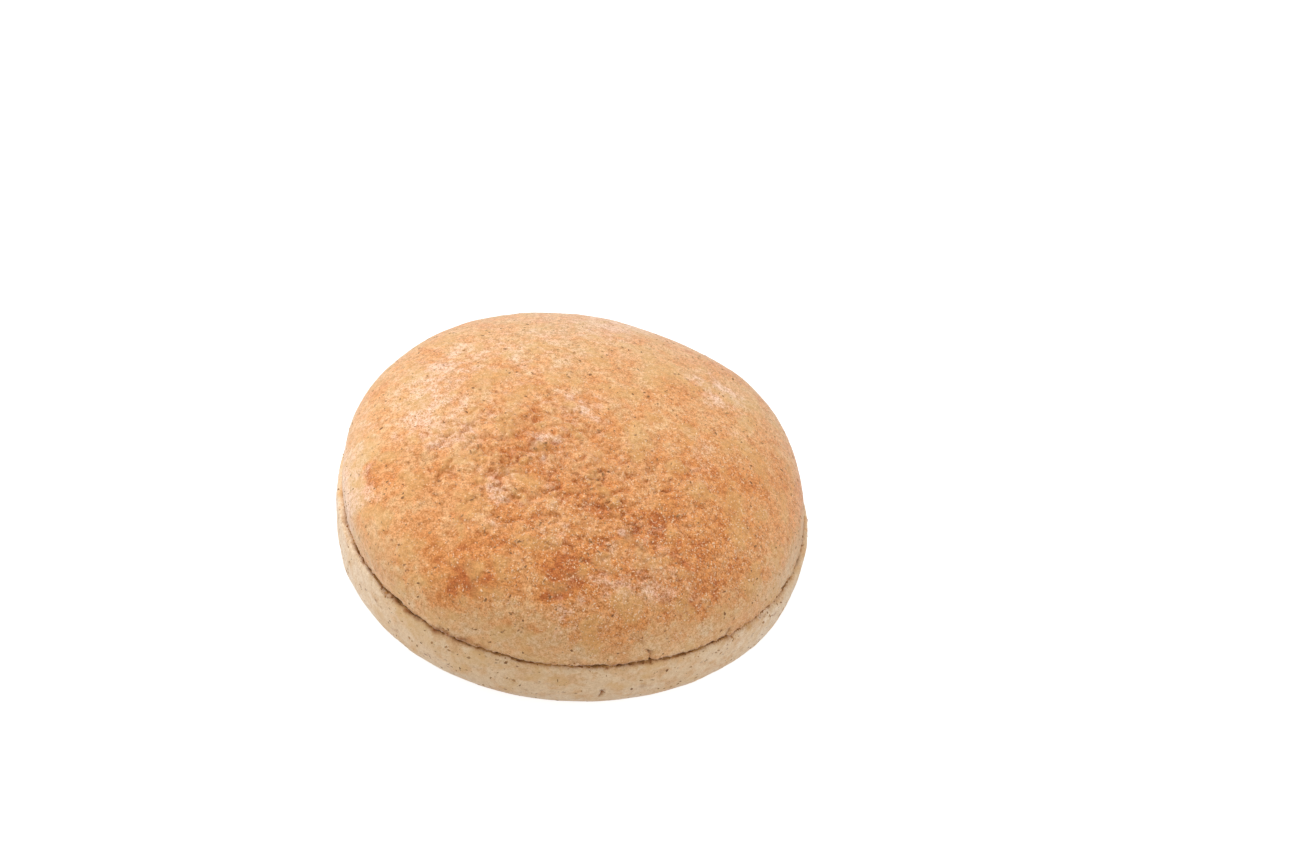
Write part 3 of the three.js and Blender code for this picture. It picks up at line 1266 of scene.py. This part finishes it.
@dataclass
class BunHalf(ABC):
    """One half of the bun: a fine skin over its solid, with marks for where the crust differs.

    Sizes are in millimetres. A facing is 1 where the skin lies square to the slice, and 0 on the wall.
    Lowered patches bring the browned crust's edge further down, or hold it up where their strength is
    negative.
    """

    half: Half
    piece: str
    weld: float = 0.001
    join_face_deg: float = 40.0
    join_shape_deg: float = 60.0
    rounding: int = 2
    voxel: float = 0.41
    plain_faces: float = 0.12
    plain_facing: float = 0.8
    plain_base: float = 0.5
    plain_back: float = 24.0
    lip_reach: float = 0.7
    slit_gap: float = 0.35
    slit_facing: float = 0.5
    rim_radius: float = 50.0
    rim_width: float = 2.0
    rim_depth: float = 4.0
    cut_facing: Span = (0.3, 0.85)
    cut_reach: Span = (0.7, 0.3)
    base_edge: Span = (0.4, 3.0)
    patch_stray: float = 1.6
    patch_waves: float = 16.0
    stain_and_shade_stray: float = 0.5
    stain_and_shade_waves: float = 4.0
    stain_and_shade_seed: int = 1
    seed: float = 4.0
    relief: dict[str, float] = field(default_factory=dict)
    toasted: tuple[Patch, ...] = ()
    lowered: tuple[Patch, ...] = ()
    # flour patches, and along the rims and on the heel's sides a painted sheen
    flour_and_sheen_patches: tuple[Patch, ...] = ()
    wrinkled: tuple[Patch, ...] = ()
    sandy: tuple[Patch, ...] = ()
    creases: tuple[Crack, ...] = ()
    cracks: tuple[Crack, ...] = ()
    pinched: tuple[Patch, ...] = (
        Patch(-7, -54, 16, 4.0),
        Patch(47, -27, 16, 13.0),
        Patch(54, -9, 16.5, 8.0),
        Patch(-54, -12, 16.8, 8.0),
    )
    # brown stains by the slit, partly painted shade of the gap
    stained_and_shaded: tuple[Place, ...] = (
        Crack((-38, -41, 16.2), (-15, -53, 15.9), 0.75),
        Patch(-3, -54.5, 17.4, 0.7, 0.7),
        Patch(-13, -53.2, 15.6, 0.8, 0.8),
        Patch(6, -53.6, 16.4, 0.9, 0.7),
        Patch(18, -49.5, 15.6, 0.8, 0.9),
        Patch(13.6, -51.3, 15.3, 0.7, 0.8),
        Patch(39.5, -35.5, 16.2, 1.0, 0.8),
        Patch(-24, -50, 16.4, 0.9, 0.6),
        Patch(22, -48.5, 7.4, 0.6, 0.5),
        Patch(24.6, -47.2, 7.9, 0.5, 0.5),
        Patch(20, -48.5, 22.2, 0.8, 0.5),
    )

    def build(self, tree: ReliefTree, swatch: Swatch, crumb: bpy.types.Material) -> bpy.types.Object:
        """Makes the dressed half and puts it in place of its solid.

        Args:
            tree: the rule that raises the relief.
            swatch: the shared shader groups.
            crumb: the material of the cut face.

        Returns:
            The finished piece.
        """
        host = new_object(self.piece + "_skin", self._even_skin())
        self._thin_out(host)
        self._mark_skin(host.data)
        values = {"Seed": self.seed, "Crust": self._finish(swatch).material(), "Crumb": crumb, **self.relief}
        piece = new_object(self.piece, made_by_nodes(host, tree.tree, values))
        bpy.data.objects.remove(host)
        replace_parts(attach(piece, BODY), self.half.value)
        return piece

    def _even_skin(self) -> bpy.types.Mesh:
        """A smooth copy of the solid with small, even faces.

        Returns:
            The new mesh.
        """
        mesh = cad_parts[self.half.value].data.copy()
        shape = bmesh.new()
        shape.from_mesh(mesh)
        bmesh.ops.remove_doubles(shape, verts=shape.verts, dist=self.weld * MM)
        bmesh.ops.join_triangles(
            shape,
            faces=shape.faces,
            angle_face_threshold=math.radians(self.join_face_deg),
            angle_shape_threshold=math.radians(self.join_shape_deg),
        )
        shape.to_mesh(mesh)
        shape.free()
        host = new_object("even_skin", mesh)
        round_off = host.modifiers.new("round_off", "SUBSURF")
        round_off.levels = round_off.render_levels = self.rounding
        even = host.modifiers.new("even", "REMESH")
        even.mode = "VOXEL"
        even.voxel_size = self.voxel * MM
        skin = evaluated_mesh(host)
        bpy.data.objects.remove(host)
        return skin

    def _facing_cut(self, normals: np.ndarray) -> np.ndarray:
        """How squarely each point faces the slice: 1 on the cut face, 0 or less on the wall and beyond."""
        return -normals[:, 2] if self.half is Half.CROWN else normals[:, 2]

    def _thin_out(self, host: bpy.types.Object) -> None:
        """Makes the faces larger where the skin is plain: in the cut, under the base and at the back.

        Args:
            host: the object with the even skin.
        """
        points, normals = coordinates(host.data)
        inner = np.linalg.norm(points[:, :2], axis=1) < self.rim_radius
        deep = (self._facing_cut(normals) > self.plain_facing) & inner
        under = (points[:, 2] < self.plain_base) & (self.half is Half.HEEL)
        plain = deep | under | (points[:, 1] > self.plain_back)
        group = host.vertex_groups.new(name="plain")
        group.add(np.flatnonzero(plain).tolist(), 1.0, "REPLACE")
        thin = host.modifiers.new("thin", "DECIMATE")
        thin.vertex_group = group.name
        thin.ratio = 1 - (1 - self.plain_faces) * plain.mean()
        host.data = evaluated_mesh(host)
        host.modifiers.remove(thin)
        host.vertex_groups.clear()

    def _mark_skin(self, mesh: bpy.types.Mesh) -> None:
        """Marks where the skin is crust, lip, wrinkled, sandy, browned, creased and split, and where it
        takes flour and painted sheen.

        Args:
            mesh: the skin.
        """
        points, normals = coordinates(mesh)
        uneven = strayed(points, self.patch_stray, self.patch_waves, int(self.seed))
        stain_and_shade_places = strayed(points, self.stain_and_shade_stray, self.stain_and_shade_waves, self.stain_and_shade_seed)
        away = self._from_the_slit(points, normals)
        cut = ramp(self._facing_cut(normals), *self.cut_facing) * ramp(away, *self.cut_reach)
        radius = np.linalg.norm(points[:, :2], axis=1)
        rim = ramp(radius, self.rim_radius, self.rim_radius + self.rim_width)
        lip = rim * np.exp(-((away / self.lip_reach) ** 2))
        set_mark(mesh, Mark.CRUST, (1 - cut) * self._off_the_base(points))
        # the lip mark carries the slit's brown stain, partly painted shade of the gap
        set_mark(mesh, Mark.LIP, np.maximum(lip, marked(self.stained_and_shaded, stain_and_shade_places)))
        for mark, start, places in (
            (Mark.WRINKLED, 0.0, self.wrinkled),
            (Mark.SANDY, 0.0, self.sandy),
            (Mark.RISE, self._rise(points, normals), self.lowered),
            (Mark.TOAST, self._oven_browning(points), self.toasted),
            (Mark.BLOOM, 0.0, self.flour_and_sheen_patches),
            (Mark.CREASE, 0.0, self.creases),
            (Mark.PINCH, 0.0, self.pinched),
        ):
            set_mark(mesh, mark, marked(places, uneven, start))
        set_mark(mesh, Mark.CRACK, marked(self.cracks, points))

    def _from_the_slit(self, points: np.ndarray, normals: np.ndarray) -> np.ndarray:
        """How far each point near the rim lies from the other half, past the slit's own gap.

        Args:
            points: places in millimetres, one row each.
            normals: which way the skin faces at each.

        Returns:
            The distances in millimetres, large deep in the wall and 0 inside the slit.
        """
        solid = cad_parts[self.half.other.value].data
        corners = [corner.co for corner in solid.vertices]
        across = BVHTree.FromPolygons(corners, [face.vertices for face in solid.polygons])
        away = np.where(self._facing_cut(normals) > self.slit_facing, self.slit_gap, self.rim_depth)
        for row in np.flatnonzero(np.linalg.norm(points[:, :2], axis=1) > self.rim_radius):
            nearest = across.find_nearest(Vector(points[row].tolist()) * MM, self.rim_depth * MM)
            away[row] = self.rim_depth if nearest[3] is None else nearest[3] / MM
        return np.maximum(away - self.slit_gap, 0)

    def _off_the_base(self, points: np.ndarray) -> np.ndarray:
        """0 on the flat that the bun rests on, 1 above it."""
        return np.ones(len(points)) if self.half is Half.CROWN else ramp(points[:, 2], *self.base_edge)

    @abstractmethod
    def _finish(self, swatch: Swatch) -> CrustFinish:
        """The half's own crust."""

    @abstractmethod
    def _rise(self, points: np.ndarray, normals: np.ndarray) -> np.ndarray:
        """How far each point lies beyond the edge of the browned crust: a half on the edge."""

    @abstractmethod
    def _oven_browning(self, points: np.ndarray) -> np.ndarray:
        """How brown the oven makes each point beyond that edge."""


@dataclass
class Crown(BunHalf):
    """The domed top half, browned above an uneven edge and paler towards its back."""

    half: Half = Half.CROWN
    piece: str = "crown_crust"
    dome_browning: float = 0.54
    back_fading: float = 0.12
    fading_span: Span = (-12.0, 16.0)
    edge_height: float = 27.0
    edge_dip: float = 3.0
    edge_spread: float = 16.0
    middle_radius: float = 1.0
    toasted: tuple[Patch, ...] = (
        Patch(8, -34, 38, 13.0, 0.16),
        Patch(32, -32, 32, 9.0, 0.14),
        Patch(-8, -22, 41, 10.0, 0.03),
        Patch(-46, -20.5, 32, 2.8, 0.42),
        Patch(-20, -47.5, 29.5, 4.0, 0.42),
        Patch(1, -44, 33.5, 4.0, 0.5),
        Patch(-16, -17, 42, 2.5, 0.22),
        Patch(31, -38, 27, 4.0, 0.25),
        Patch(20, -30, 37, 4.0, 0.2),
        Patch(33, -10, 36, 8.0, 0.16),
        Patch(-34, -8, 39, 9.0, -0.08),
        Patch(-8, -48, 31, 4.0, -0.18),
        Patch(-29, -46, 26, 4.0, 0.14),
        Patch(48, 10, 29, 8.0, 0.2),
        Patch(24, 37, 33, 6.0, 0.12),
        Patch(9, 16, 42, 6.0, 0.1),
        Patch(21.5, -35, 34.5, 3.0, 0.15),
        Patch(8, -38, 36, 3.0, 0.12),
        Patch(-14, -43, 34, 5.0, 0.08),
        Patch(-14, 3, 43, 4.0, 0.1),
    )
    lowered: tuple[Patch, ...] = (
        Patch(-5, -51, 27, 4.5, -0.25),
        Patch(12, -50, 24, 4.0, 0.3),
        Patch(-53, -12, 29, 9.0, -0.7),
        Patch(-38, -40, 25, 5.0, -0.25),
        Patch(-50, -24, 27, 5.0, -0.45),
        Patch(48, 12, 28, 10.0, 0.45),
        Patch(-46, -20.5, 32, 3.0, 0.55),
        Patch(-30, -47, 23, 4.0, 0.3),
    )
    # flour patches; those along the rims stand for a painted sheen
    flour_and_sheen_patches: tuple[Patch, ...] = (
        Patch(29, 20, 38, 7.0, 0.5),
        Patch(38, 4, 35, 5.0, 0.35),
        Patch(1, 42, 35, 11.0, 0.62),
        Patch(-24, 22, 39, 16.0, 0.42),
        Patch(25, -39, 31, 6.0, 0.42),
        Patch(13, -42, 32, 6.0, 0.45),
        Patch(3, -49, 27, 4.0, 0.5),
        Patch(-3, 1, 43, 3.0, 0.45),
        Patch(-20, -27, 40, 3.0, 0.4),
        Patch(-10, -12, 43, 2.6, 0.7),
        Patch(-5, -29, 40, 1.6, 0.6),
        Patch(16, -31, 37, 2.5, 0.5),
        Patch(-3, -36, 38, 3.0, 0.4),
        Patch(-32, -12, 39, 8.0, 0.46),
        Patch(-52, -5, 24, 10.0, 0.4),
        Patch(0, -10, 42, 22.0, 0.28),
        Patch(-36, 9, 39, 6.0, 0.45),
        Patch(-40, -4, 37.5, 5.0, 0.35),
        Patch(25.5, 0, 40.5, 3.0, 0.34),
        Patch(26, -8, 40, 3.0, 0.4),
        Patch(27, 24, 37.5, 4.5, 0.3),
        Patch(-49.5, -25.5, 23, 7.0, 0.6),
        Patch(-52.5, -17, 23, 6.0, 0.45),
        Patch(-16, -31, 39, 3.5, 0.5),
    )
    wrinkled: tuple[Patch, ...] = (
        Patch(-8, -18, 42, 17.0, 0.92),
        Patch(18, -24, 39, 12.0, 0.6),
        Patch(-28, -18, 40, 9.0, 0.5),
    )
    sandy: tuple[Patch, ...] = (
        Patch(14, -40, 33, 13.0, 1.0),
        Patch(36, -26, 31, 12.0, 0.8),
        Patch(30, -4, 39, 10.0, 0.5),
        Patch(1, -44, 33.5, 4.0, -0.5),
        Patch(-8, -36, 38, 11.0, 0.5),
        Patch(0, -10, 42, 25.0, 0.3),
    )
    creases: tuple[Crack, ...] = (
        Crack((-19, -18, 42), (-13, -15.5, 42.5), 0.9),
        Crack((-8, -12.5, 43), (-3, -13, 43), 0.7),
        Crack((-22, -28, 39), (-17, -24, 40.5), 0.7),
        Crack((1.5, -28, 40), (6.5, -25, 40.5), 0.7),
        Crack((-13, -4, 43.4), (-11.5, -5.5, 43.2), 0.8),
    )
    cracks: tuple[Crack, ...] = (
        Crack((22.8, -48.2, 16.2), (22.6, -47.8, 18.6), 0.27),
        Crack((22.6, -47.8, 18.4), (21.6, -48.2, 19.4), 0.24),
        Crack((39.3, -36.0, 16.2), (39.6, -35.2, 17.6), 0.3),
    )

    def _finish(self, swatch: Swatch) -> CrustFinish:
        """The grainy, browned crust."""
        return CrustFinish(self.piece, swatch)

    def _rise(self, points: np.ndarray, normals: np.ndarray) -> np.ndarray:
        """The edge runs round the wall, lower in front."""
        across = points[:, 1] / np.linalg.norm(points[:, :2], axis=1).clip(self.middle_radius)
        return 0.5 + (points[:, 2] - self.edge_height - self.edge_dip * across) / self.edge_spread

    def _oven_browning(self, points: np.ndarray) -> np.ndarray:
        """The front was nearest the heat."""
        return self.dome_browning - self.back_fading * ramp(points[:, 1], *self.fading_span)


@dataclass
class Heel(BunHalf):
    """The flat bottom half, pale on its wall and browned on its base."""

    half: Half = Half.HEEL
    piece: str = "heel_crust"
    lip_reach: float = 0.42
    seed: float = 9.0
    base_browning: float = 0.5
    base_facing: Span = (0.85, 0.99)
    relief: dict[str, float] = field(
        default_factory=lambda: {
            "Swell Height": 2.0,
            "Grain Height": 0.5,
            "Wall Browning": 0.08,
            "Mottle": 2.1,
        }
    )
    # paler on the heel's left and right sides: flour and painted sheen
    flour_and_sheen_patches: tuple[Patch, ...] = (Patch(-50, -27, 10, 16.0, 1.0), Patch(48, -27, 9, 12.0, 0.8))
    cracks: tuple[Crack, ...] = (
        Crack((13.3, -51.0, 5.2), (13.9, -51.4, 6.4), 0.26),
        Crack((13.9, -51.4, 6.3), (13.5, -51.6, 7.6), 0.26),
    )

    def _finish(self, swatch: Swatch) -> CrustFinish:
        """A paler, plainer crust with more smears and specks."""
        return CrustFinish(
            self.piece,
            swatch,
            pale=Tone(235, 201, 160),
            tan=Tone(229, 185, 135),
            golden=Tone(214, 163, 112),
            flour_and_sheen_tone=Tone(246, 220, 190),
            highlit_granules=0.3,
            pores=0.2,
            smears=0.7,
            specks=0.85,
            grain_shade_contrast=(-0.18, 0.18),
            seed=8.0,
        )

    def _rise(self, points: np.ndarray, normals: np.ndarray) -> np.ndarray:
        """The base lay on the hot sheet, and the wall stayed pale."""
        return ramp(-normals[:, 2], *self.base_facing)

    def _oven_browning(self, points: np.ndarray) -> np.ndarray:
        """The base is browned evenly."""
        return np.full(len(points), self.base_browning)


class StrewTree:
    """The rule that strews small bits over the crust, half sunk into it."""

    SHAPES = 4
    LUMP_RADIUS = 0.5
    LUMP_WAVES = 0.6
    LUMP_PUSH = 1.3
    WIDTH_DRAW = (0.7, 1.3)

    def __init__(self) -> None:
        """Makes the tree."""
        inputs = {
            "Bun": ("NodeSocketGeometry", None),
            "Crown": ("NodeSocketObject", None),
            "Heel": ("NodeSocketObject", None),
            "Where": ("NodeSocketString", Mark.CRUST.value),
            "Per Square Metre": ("NodeSocketFloat", 0.0),
            "Shortest": ("NodeSocketFloat", 0.0),
            "Longest": ("NodeSocketFloat", 0.0),
            "Width Share": ("NodeSocketFloat", 0.6),
            "Thickness Share": ("NodeSocketFloat", 0.3),
            "Seed": ("NodeSocketInt", 0),
            "Finish": ("NodeSocketMaterial", None),
        }
        self.wiring = new_tree("Strewn bits", "GeometryNodeTree", inputs, {"Bits": "NodeSocketGeometry"})
        self.given = self.wiring.add("NodeGroupInput").outputs
        self._build()

    @property
    def tree(self) -> bpy.types.NodeTree:
        """The finished tree."""
        return self.wiring.tree

    def _random(self, low: Feed, high: Feed, draw: Draw) -> Socket:
        """A number drawn for each bit."""
        feeds = {"Min": low, "Max": high, "Seed": self._seed(draw)}
        return self.wiring.run("FunctionNodeRandomValue", feeds, 1, data_type="FLOAT")

    def _seed(self, draw: Draw) -> Socket:
        """A seed of its own for each draw."""
        return self.wiring.math("ADD", self.given["Seed"], draw.value)

    def _bit_shapes(self) -> Socket:
        """A few lopsided lumps, one across, as instances to pick from.

        Returns:
            The lumps.
        """
        w = self.wiring
        join = w.add("GeometryNodeJoinGeometry")
        for number in range(self.SHAPES):
            feeds = {"Radius": self.LUMP_RADIUS, "Subdivisions": 1}
            lump = w.run("GeometryNodeMeshIcoSphere", feeds)
            place = w.run("GeometryNodeInputPosition", {})
            push = w.noise(place, self.LUMP_WAVES, float(number), detail=1.0, out="Color")
            push = w.vector("SCALE", w.vector("SUBTRACT", push, w.MIDDLE_GREY), self.LUMP_PUSH)
            lump = w.run("GeometryNodeSetPosition", {"Geometry": lump, "Offset": push})
            w.tree.links.new(w.run("GeometryNodeGeometryToInstance", {"Geometry": lump}), join.inputs[0])
        return join.outputs[0]

    def _bit_scale(self) -> Socket:
        """Length, width and thickness of each bit; short ones are the most common.

        Returns:
            The three, in metres.
        """
        w, given = self.wiring, self.given
        draw = self._random(0.0, 1.0, Draw.LENGTH)
        spread = w.math("SUBTRACT", given["Longest"], given["Shortest"])
        length = w.total(given["Shortest"], w.product(spread, draw, draw))
        uneven = self._random(*self.WIDTH_DRAW, Draw.WIDTH)
        width = w.product(length, given["Width Share"], uneven)
        thickness = w.product(length, given["Thickness Share"])
        return w.run("ShaderNodeCombineXYZ", {"X": length, "Y": width, "Z": thickness})

    def _build(self) -> None:
        """Wires the tree: points on the crust, lumps on the points, realized with their finish."""
        w, given = self.wiring, self.given
        join = w.add("GeometryNodeJoinGeometry")
        for name in ("Crown", "Heel"):
            half = w.run("GeometryNodeObjectInfo", {"Object": given[name]}, "Geometry")
            w.tree.links.new(half, join.inputs[0])
        density = w.run("GeometryNodeInputNamedAttribute", {"Name": given["Where"]}, data_type="FLOAT")
        strewn = w.add("GeometryNodeDistributePointsOnFaces", distribute_method="RANDOM")
        w.feed(strewn.inputs["Mesh"], join.outputs[0])
        w.feed(strewn.inputs["Density"], w.product(density, given["Per Square Metre"]))
        w.feed(strewn.inputs["Seed"], given["Seed"])
        spin = w.run("ShaderNodeCombineXYZ", {"Z": self._random(0.0, math.tau, Draw.TURN)})
        spin = w.run("FunctionNodeEulerToRotation", {"Euler": spin})
        feeds = {"Rotation": strewn.outputs["Rotation"], "Rotate By": spin}
        turned = w.run("FunctionNodeRotateRotation", feeds, rotation_space="LOCAL")
        feeds = {"Min": 0, "Max": self.SHAPES - 1, "Seed": self._seed(Draw.SHAPE)}
        pick = w.run("FunctionNodeRandomValue", feeds, 2, data_type="INT")
        feeds = {"Points": strewn.outputs["Points"], "Instance": self._bit_shapes(), "Pick Instance": True}
        feeds |= {"Instance Index": pick, "Rotation": turned, "Scale": self._bit_scale()}
        bits = w.run("GeometryNodeInstanceOnPoints", feeds)
        bits = w.run("GeometryNodeRealizeInstances", {"Geometry": bits})
        bits = w.run("GeometryNodeSetShadeSmooth", {"Geometry": bits, "Shade Smooth": False})
        bits = w.run("GeometryNodeSetMaterial", {"Geometry": bits, "Material": given["Finish"]})
        w.feed(w.add("NodeGroupOutput").inputs["Bits"], bits)


@dataclass(frozen=True)
class Sprinkle:
    """One kind of small bits on the crust, with sizes in millimetres."""

    piece: str
    finish: BitFinish
    where: Mark
    per_square_cm: float
    shortest: float
    longest: float
    width_share: float
    thickness_share: float
    seed: int

    def build(self, tree: StrewTree, crown: bpy.types.Object, heel: bpy.types.Object) -> bpy.types.Object:
        """Strews the bits over both halves.

        Args:
            tree: the rule that strews.
            crown: the dressed crown.
            heel: the dressed heel.

        Returns:
            The finished piece.
        """
        host = new_object(self.piece + "_host", bpy.data.meshes.new(self.piece + "_host"))
        values = {
            "Crown": crown,
            "Heel": heel,
            "Where": self.where.value,
            "Per Square Metre": self.per_square_cm * SQUARE_CM_PER_SQUARE_METRE,
            "Shortest": self.shortest * MM,
            "Longest": self.longest * MM,
            "Width Share": self.width_share,
            "Thickness Share": self.thickness_share,
            "Seed": self.seed,
            "Finish": self.finish.material(),
        }
        piece = new_object(self.piece, made_by_nodes(host, tree.tree, values))
        bpy.data.objects.remove(host)
        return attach(piece, BODY)


@dataclass(frozen=True)
class PhotoCamera:
    """A camera that sees the bun as the photograph does.

    Sizes are in pixels of the photograph's frame, and the range that it sees is in metres.
    """

    frame_width: int = 1296
    frame_height: int = 864
    focal_length: float = 3250.0
    sensor_mm: float = 36.0
    elevation_deg: float = 42.27
    roll_deg: float = 10.5
    distance_mm: float = 754.6
    aim_height_mm: float = 20.0
    aim_right: float = 577.8
    aim_down: float = 485.9
    nearest: float = 0.01
    farthest: float = 20.0

    def build(self) -> bpy.types.Object:
        """Makes the camera and gives it to the scene.

        Returns:
            The camera.
        """
        data = bpy.data.cameras.new("camera")
        data.sensor_width = self.sensor_mm
        data.lens = self.sensor_mm * self.focal_length / self.frame_width
        data.clip_start, data.clip_end = self.nearest, self.farthest
        camera = bpy.data.objects.new("camera", data)
        bpy.context.scene.collection.objects.link(camera)
        elevation, roll = math.radians(self.elevation_deg), math.radians(self.roll_deg)
        back = Vector((0, -math.cos(elevation), math.sin(elevation)))
        level = Vector((1, 0, 0))
        above = back.cross(level)
        right = math.cos(roll) * level + math.sin(roll) * above
        up = math.cos(roll) * above - math.sin(roll) * level
        facing = Matrix((right, up, back)).transposed()
        aside, under = self.aim_right - self.frame_width / 2, self.aim_down - self.frame_height / 2
        aim = Vector((aside, -under, -self.focal_length))
        swing = aim.rotation_difference(Vector((0, 0, -1))).to_matrix()
        place = Vector((0, 0, self.aim_height_mm * MM)) + self.distance_mm * MM * back
        camera.matrix_world = Matrix.Translation(place) @ (facing @ swing).to_4x4()
        bpy.context.scene.camera = camera
        return camera


@dataclass(frozen=True)
class SoftBox:
    """A square studio light that faces the bun, in metres and watts."""

    name: str
    place: tuple[float, float, float]
    side: float
    power: float

    def build(self) -> bpy.types.Object:
        """Hangs the light.

        Returns:
            The light.
        """
        data = bpy.data.lights.new(self.name, "AREA")
        data.size = self.side
        data.energy = self.power
        light = bpy.data.objects.new(self.name, data)
        light.location = self.place
        light.rotation_euler = (-Vector(self.place)).to_track_quat("-Z", "Y").to_euler()
        bpy.context.scene.collection.objects.link(light)
        return light


@dataclass(frozen=True)
class Studio:
    """A plain pale floor, lit a little from below, in soft even light."""

    floor_side: float = 6.0
    floor_tone: Tone = Tone(160, 160, 160)
    floor_roughness: float = 0.9
    floor_glow: float = 0.42
    floor_whiteness: float = 0.86
    sky_strength: float = 0.34
    boxes: tuple[SoftBox, ...] = (
        SoftBox("key_box", (-0.35, 0.6, 1.35), 0.6, 11.5),
        SoftBox("front_box", (-0.2, -1.0, 0.9), 1.0, 2.8),
        SoftBox("left_box", (-1.2, 0.15, 0.5), 1.0, 8.0),
        SoftBox("right_box", (1.2, 0.0, 0.5), 1.0, 5.0),
    )

    def build(self) -> None:
        """Lays the floor, hangs the lights and sets plain colours."""
        floor = new_object("floor", self._floor_mesh())
        floor.data.materials.append(self._floor_material())
        for box in self.boxes:
            box.build()
        world = bpy.data.worlds.new("studio")
        world.use_nodes = True
        light = world.node_tree.nodes["Background"].inputs
        light["Color"].default_value = WHITE
        light["Strength"].default_value = self.sky_strength
        bpy.context.scene.world = world
        bpy.context.scene.view_settings.view_transform = "Standard"

    def _floor_mesh(self) -> bpy.types.Mesh:
        """A large square on the ground.

        Returns:
            The mesh.
        """
        mesh = bpy.data.meshes.new("floor")
        half = self.floor_side / 2
        corners = [(-half, -half, 0), (half, -half, 0), (half, half, 0), (-half, half, 0)]
        mesh.from_pydata(corners, [], [(0, 1, 2, 3)])
        return mesh

    def _floor_material(self) -> bpy.types.Material:
        """Pale matt paper on a dimmed light table, which looks whiter than it lights.

        Returns:
            The material.
        """
        material = bpy.data.materials.new("pale_floor")
        material.use_nodes = True
        shader = material.node_tree.nodes["Principled BSDF"]
        wiring = Wiring(material.node_tree)
        seen = wiring.add("ShaderNodeLightPath").outputs["Is Camera Ray"]
        feeds = {"Value": seen, "To Min": self.floor_glow, "To Max": self.floor_whiteness}
        shader.inputs["Base Color"].default_value = self.floor_tone.linear()
        shader.inputs["Roughness"].default_value = self.floor_roughness
        shader.inputs["Emission Color"].default_value = WHITE
        wiring.feed(shader.inputs["Emission Strength"], wiring.run("ShaderNodeMapRange", feeds))
        return material


def report(piece: bpy.types.Object) -> None:
    """Logs a finished piece and its number of triangles."""
    triangles = sum(len(face.vertices) - 2 for face in piece.data.polygons)
    LOG.info("%s: %d triangles", piece.name, triangles)


SPRINKLES = (
    Sprinkle(
        "bran_flecks",
        BitFinish("bran", Tone(192, 142, 92), Tone(134, 88, 48)),
        Mark.CRUST,
        per_square_cm=15.0,
        shortest=0.2,
        longest=1.0,
        width_share=0.5,
        thickness_share=0.1,
        seed=11,
    ),
    Sprinkle(
        # near-white granules, partly painted highlights
        "crust_granules",
        BitFinish("highlit_granules", Tone(250, 212, 172), Tone(222, 160, 104), roughness=(0.5, 0.7)),
        Mark.SANDY,
        per_square_cm=190.0,
        shortest=0.2,
        longest=0.8,
        width_share=0.42,
        thickness_share=0.35,
        seed=23,
    ),
    Sprinkle(
        "slit_crumbs",
        BitFinish("crumbs", Tone(196, 142, 82), Tone(146, 90, 40)),
        Mark.LIP,
        per_square_cm=25.0,
        shortest=0.25,
        longest=0.8,
        width_share=0.7,
        thickness_share=0.6,
        seed=37,
    ),
)


def main() -> None:
    """Builds the bun, its bits, the studio and the camera."""
    logging.basicConfig(level=logging.INFO, format="%(name)s: %(message)s", stream=sys.stdout)
    PhotoCamera().build()
    Studio().build()
    swatch = Swatch()
    crumb = CrumbFinish(swatch).material()
    relief = ReliefTree()
    crown = Crown().build(relief, swatch, crumb)
    heel = Heel().build(relief, swatch, crumb)
    strew = StrewTree()
    for piece in (crown, heel, *(kind.build(strew, crown, heel) for kind in SPRINKLES)):
        report(piece)


if __name__ == "__main__":
    main()
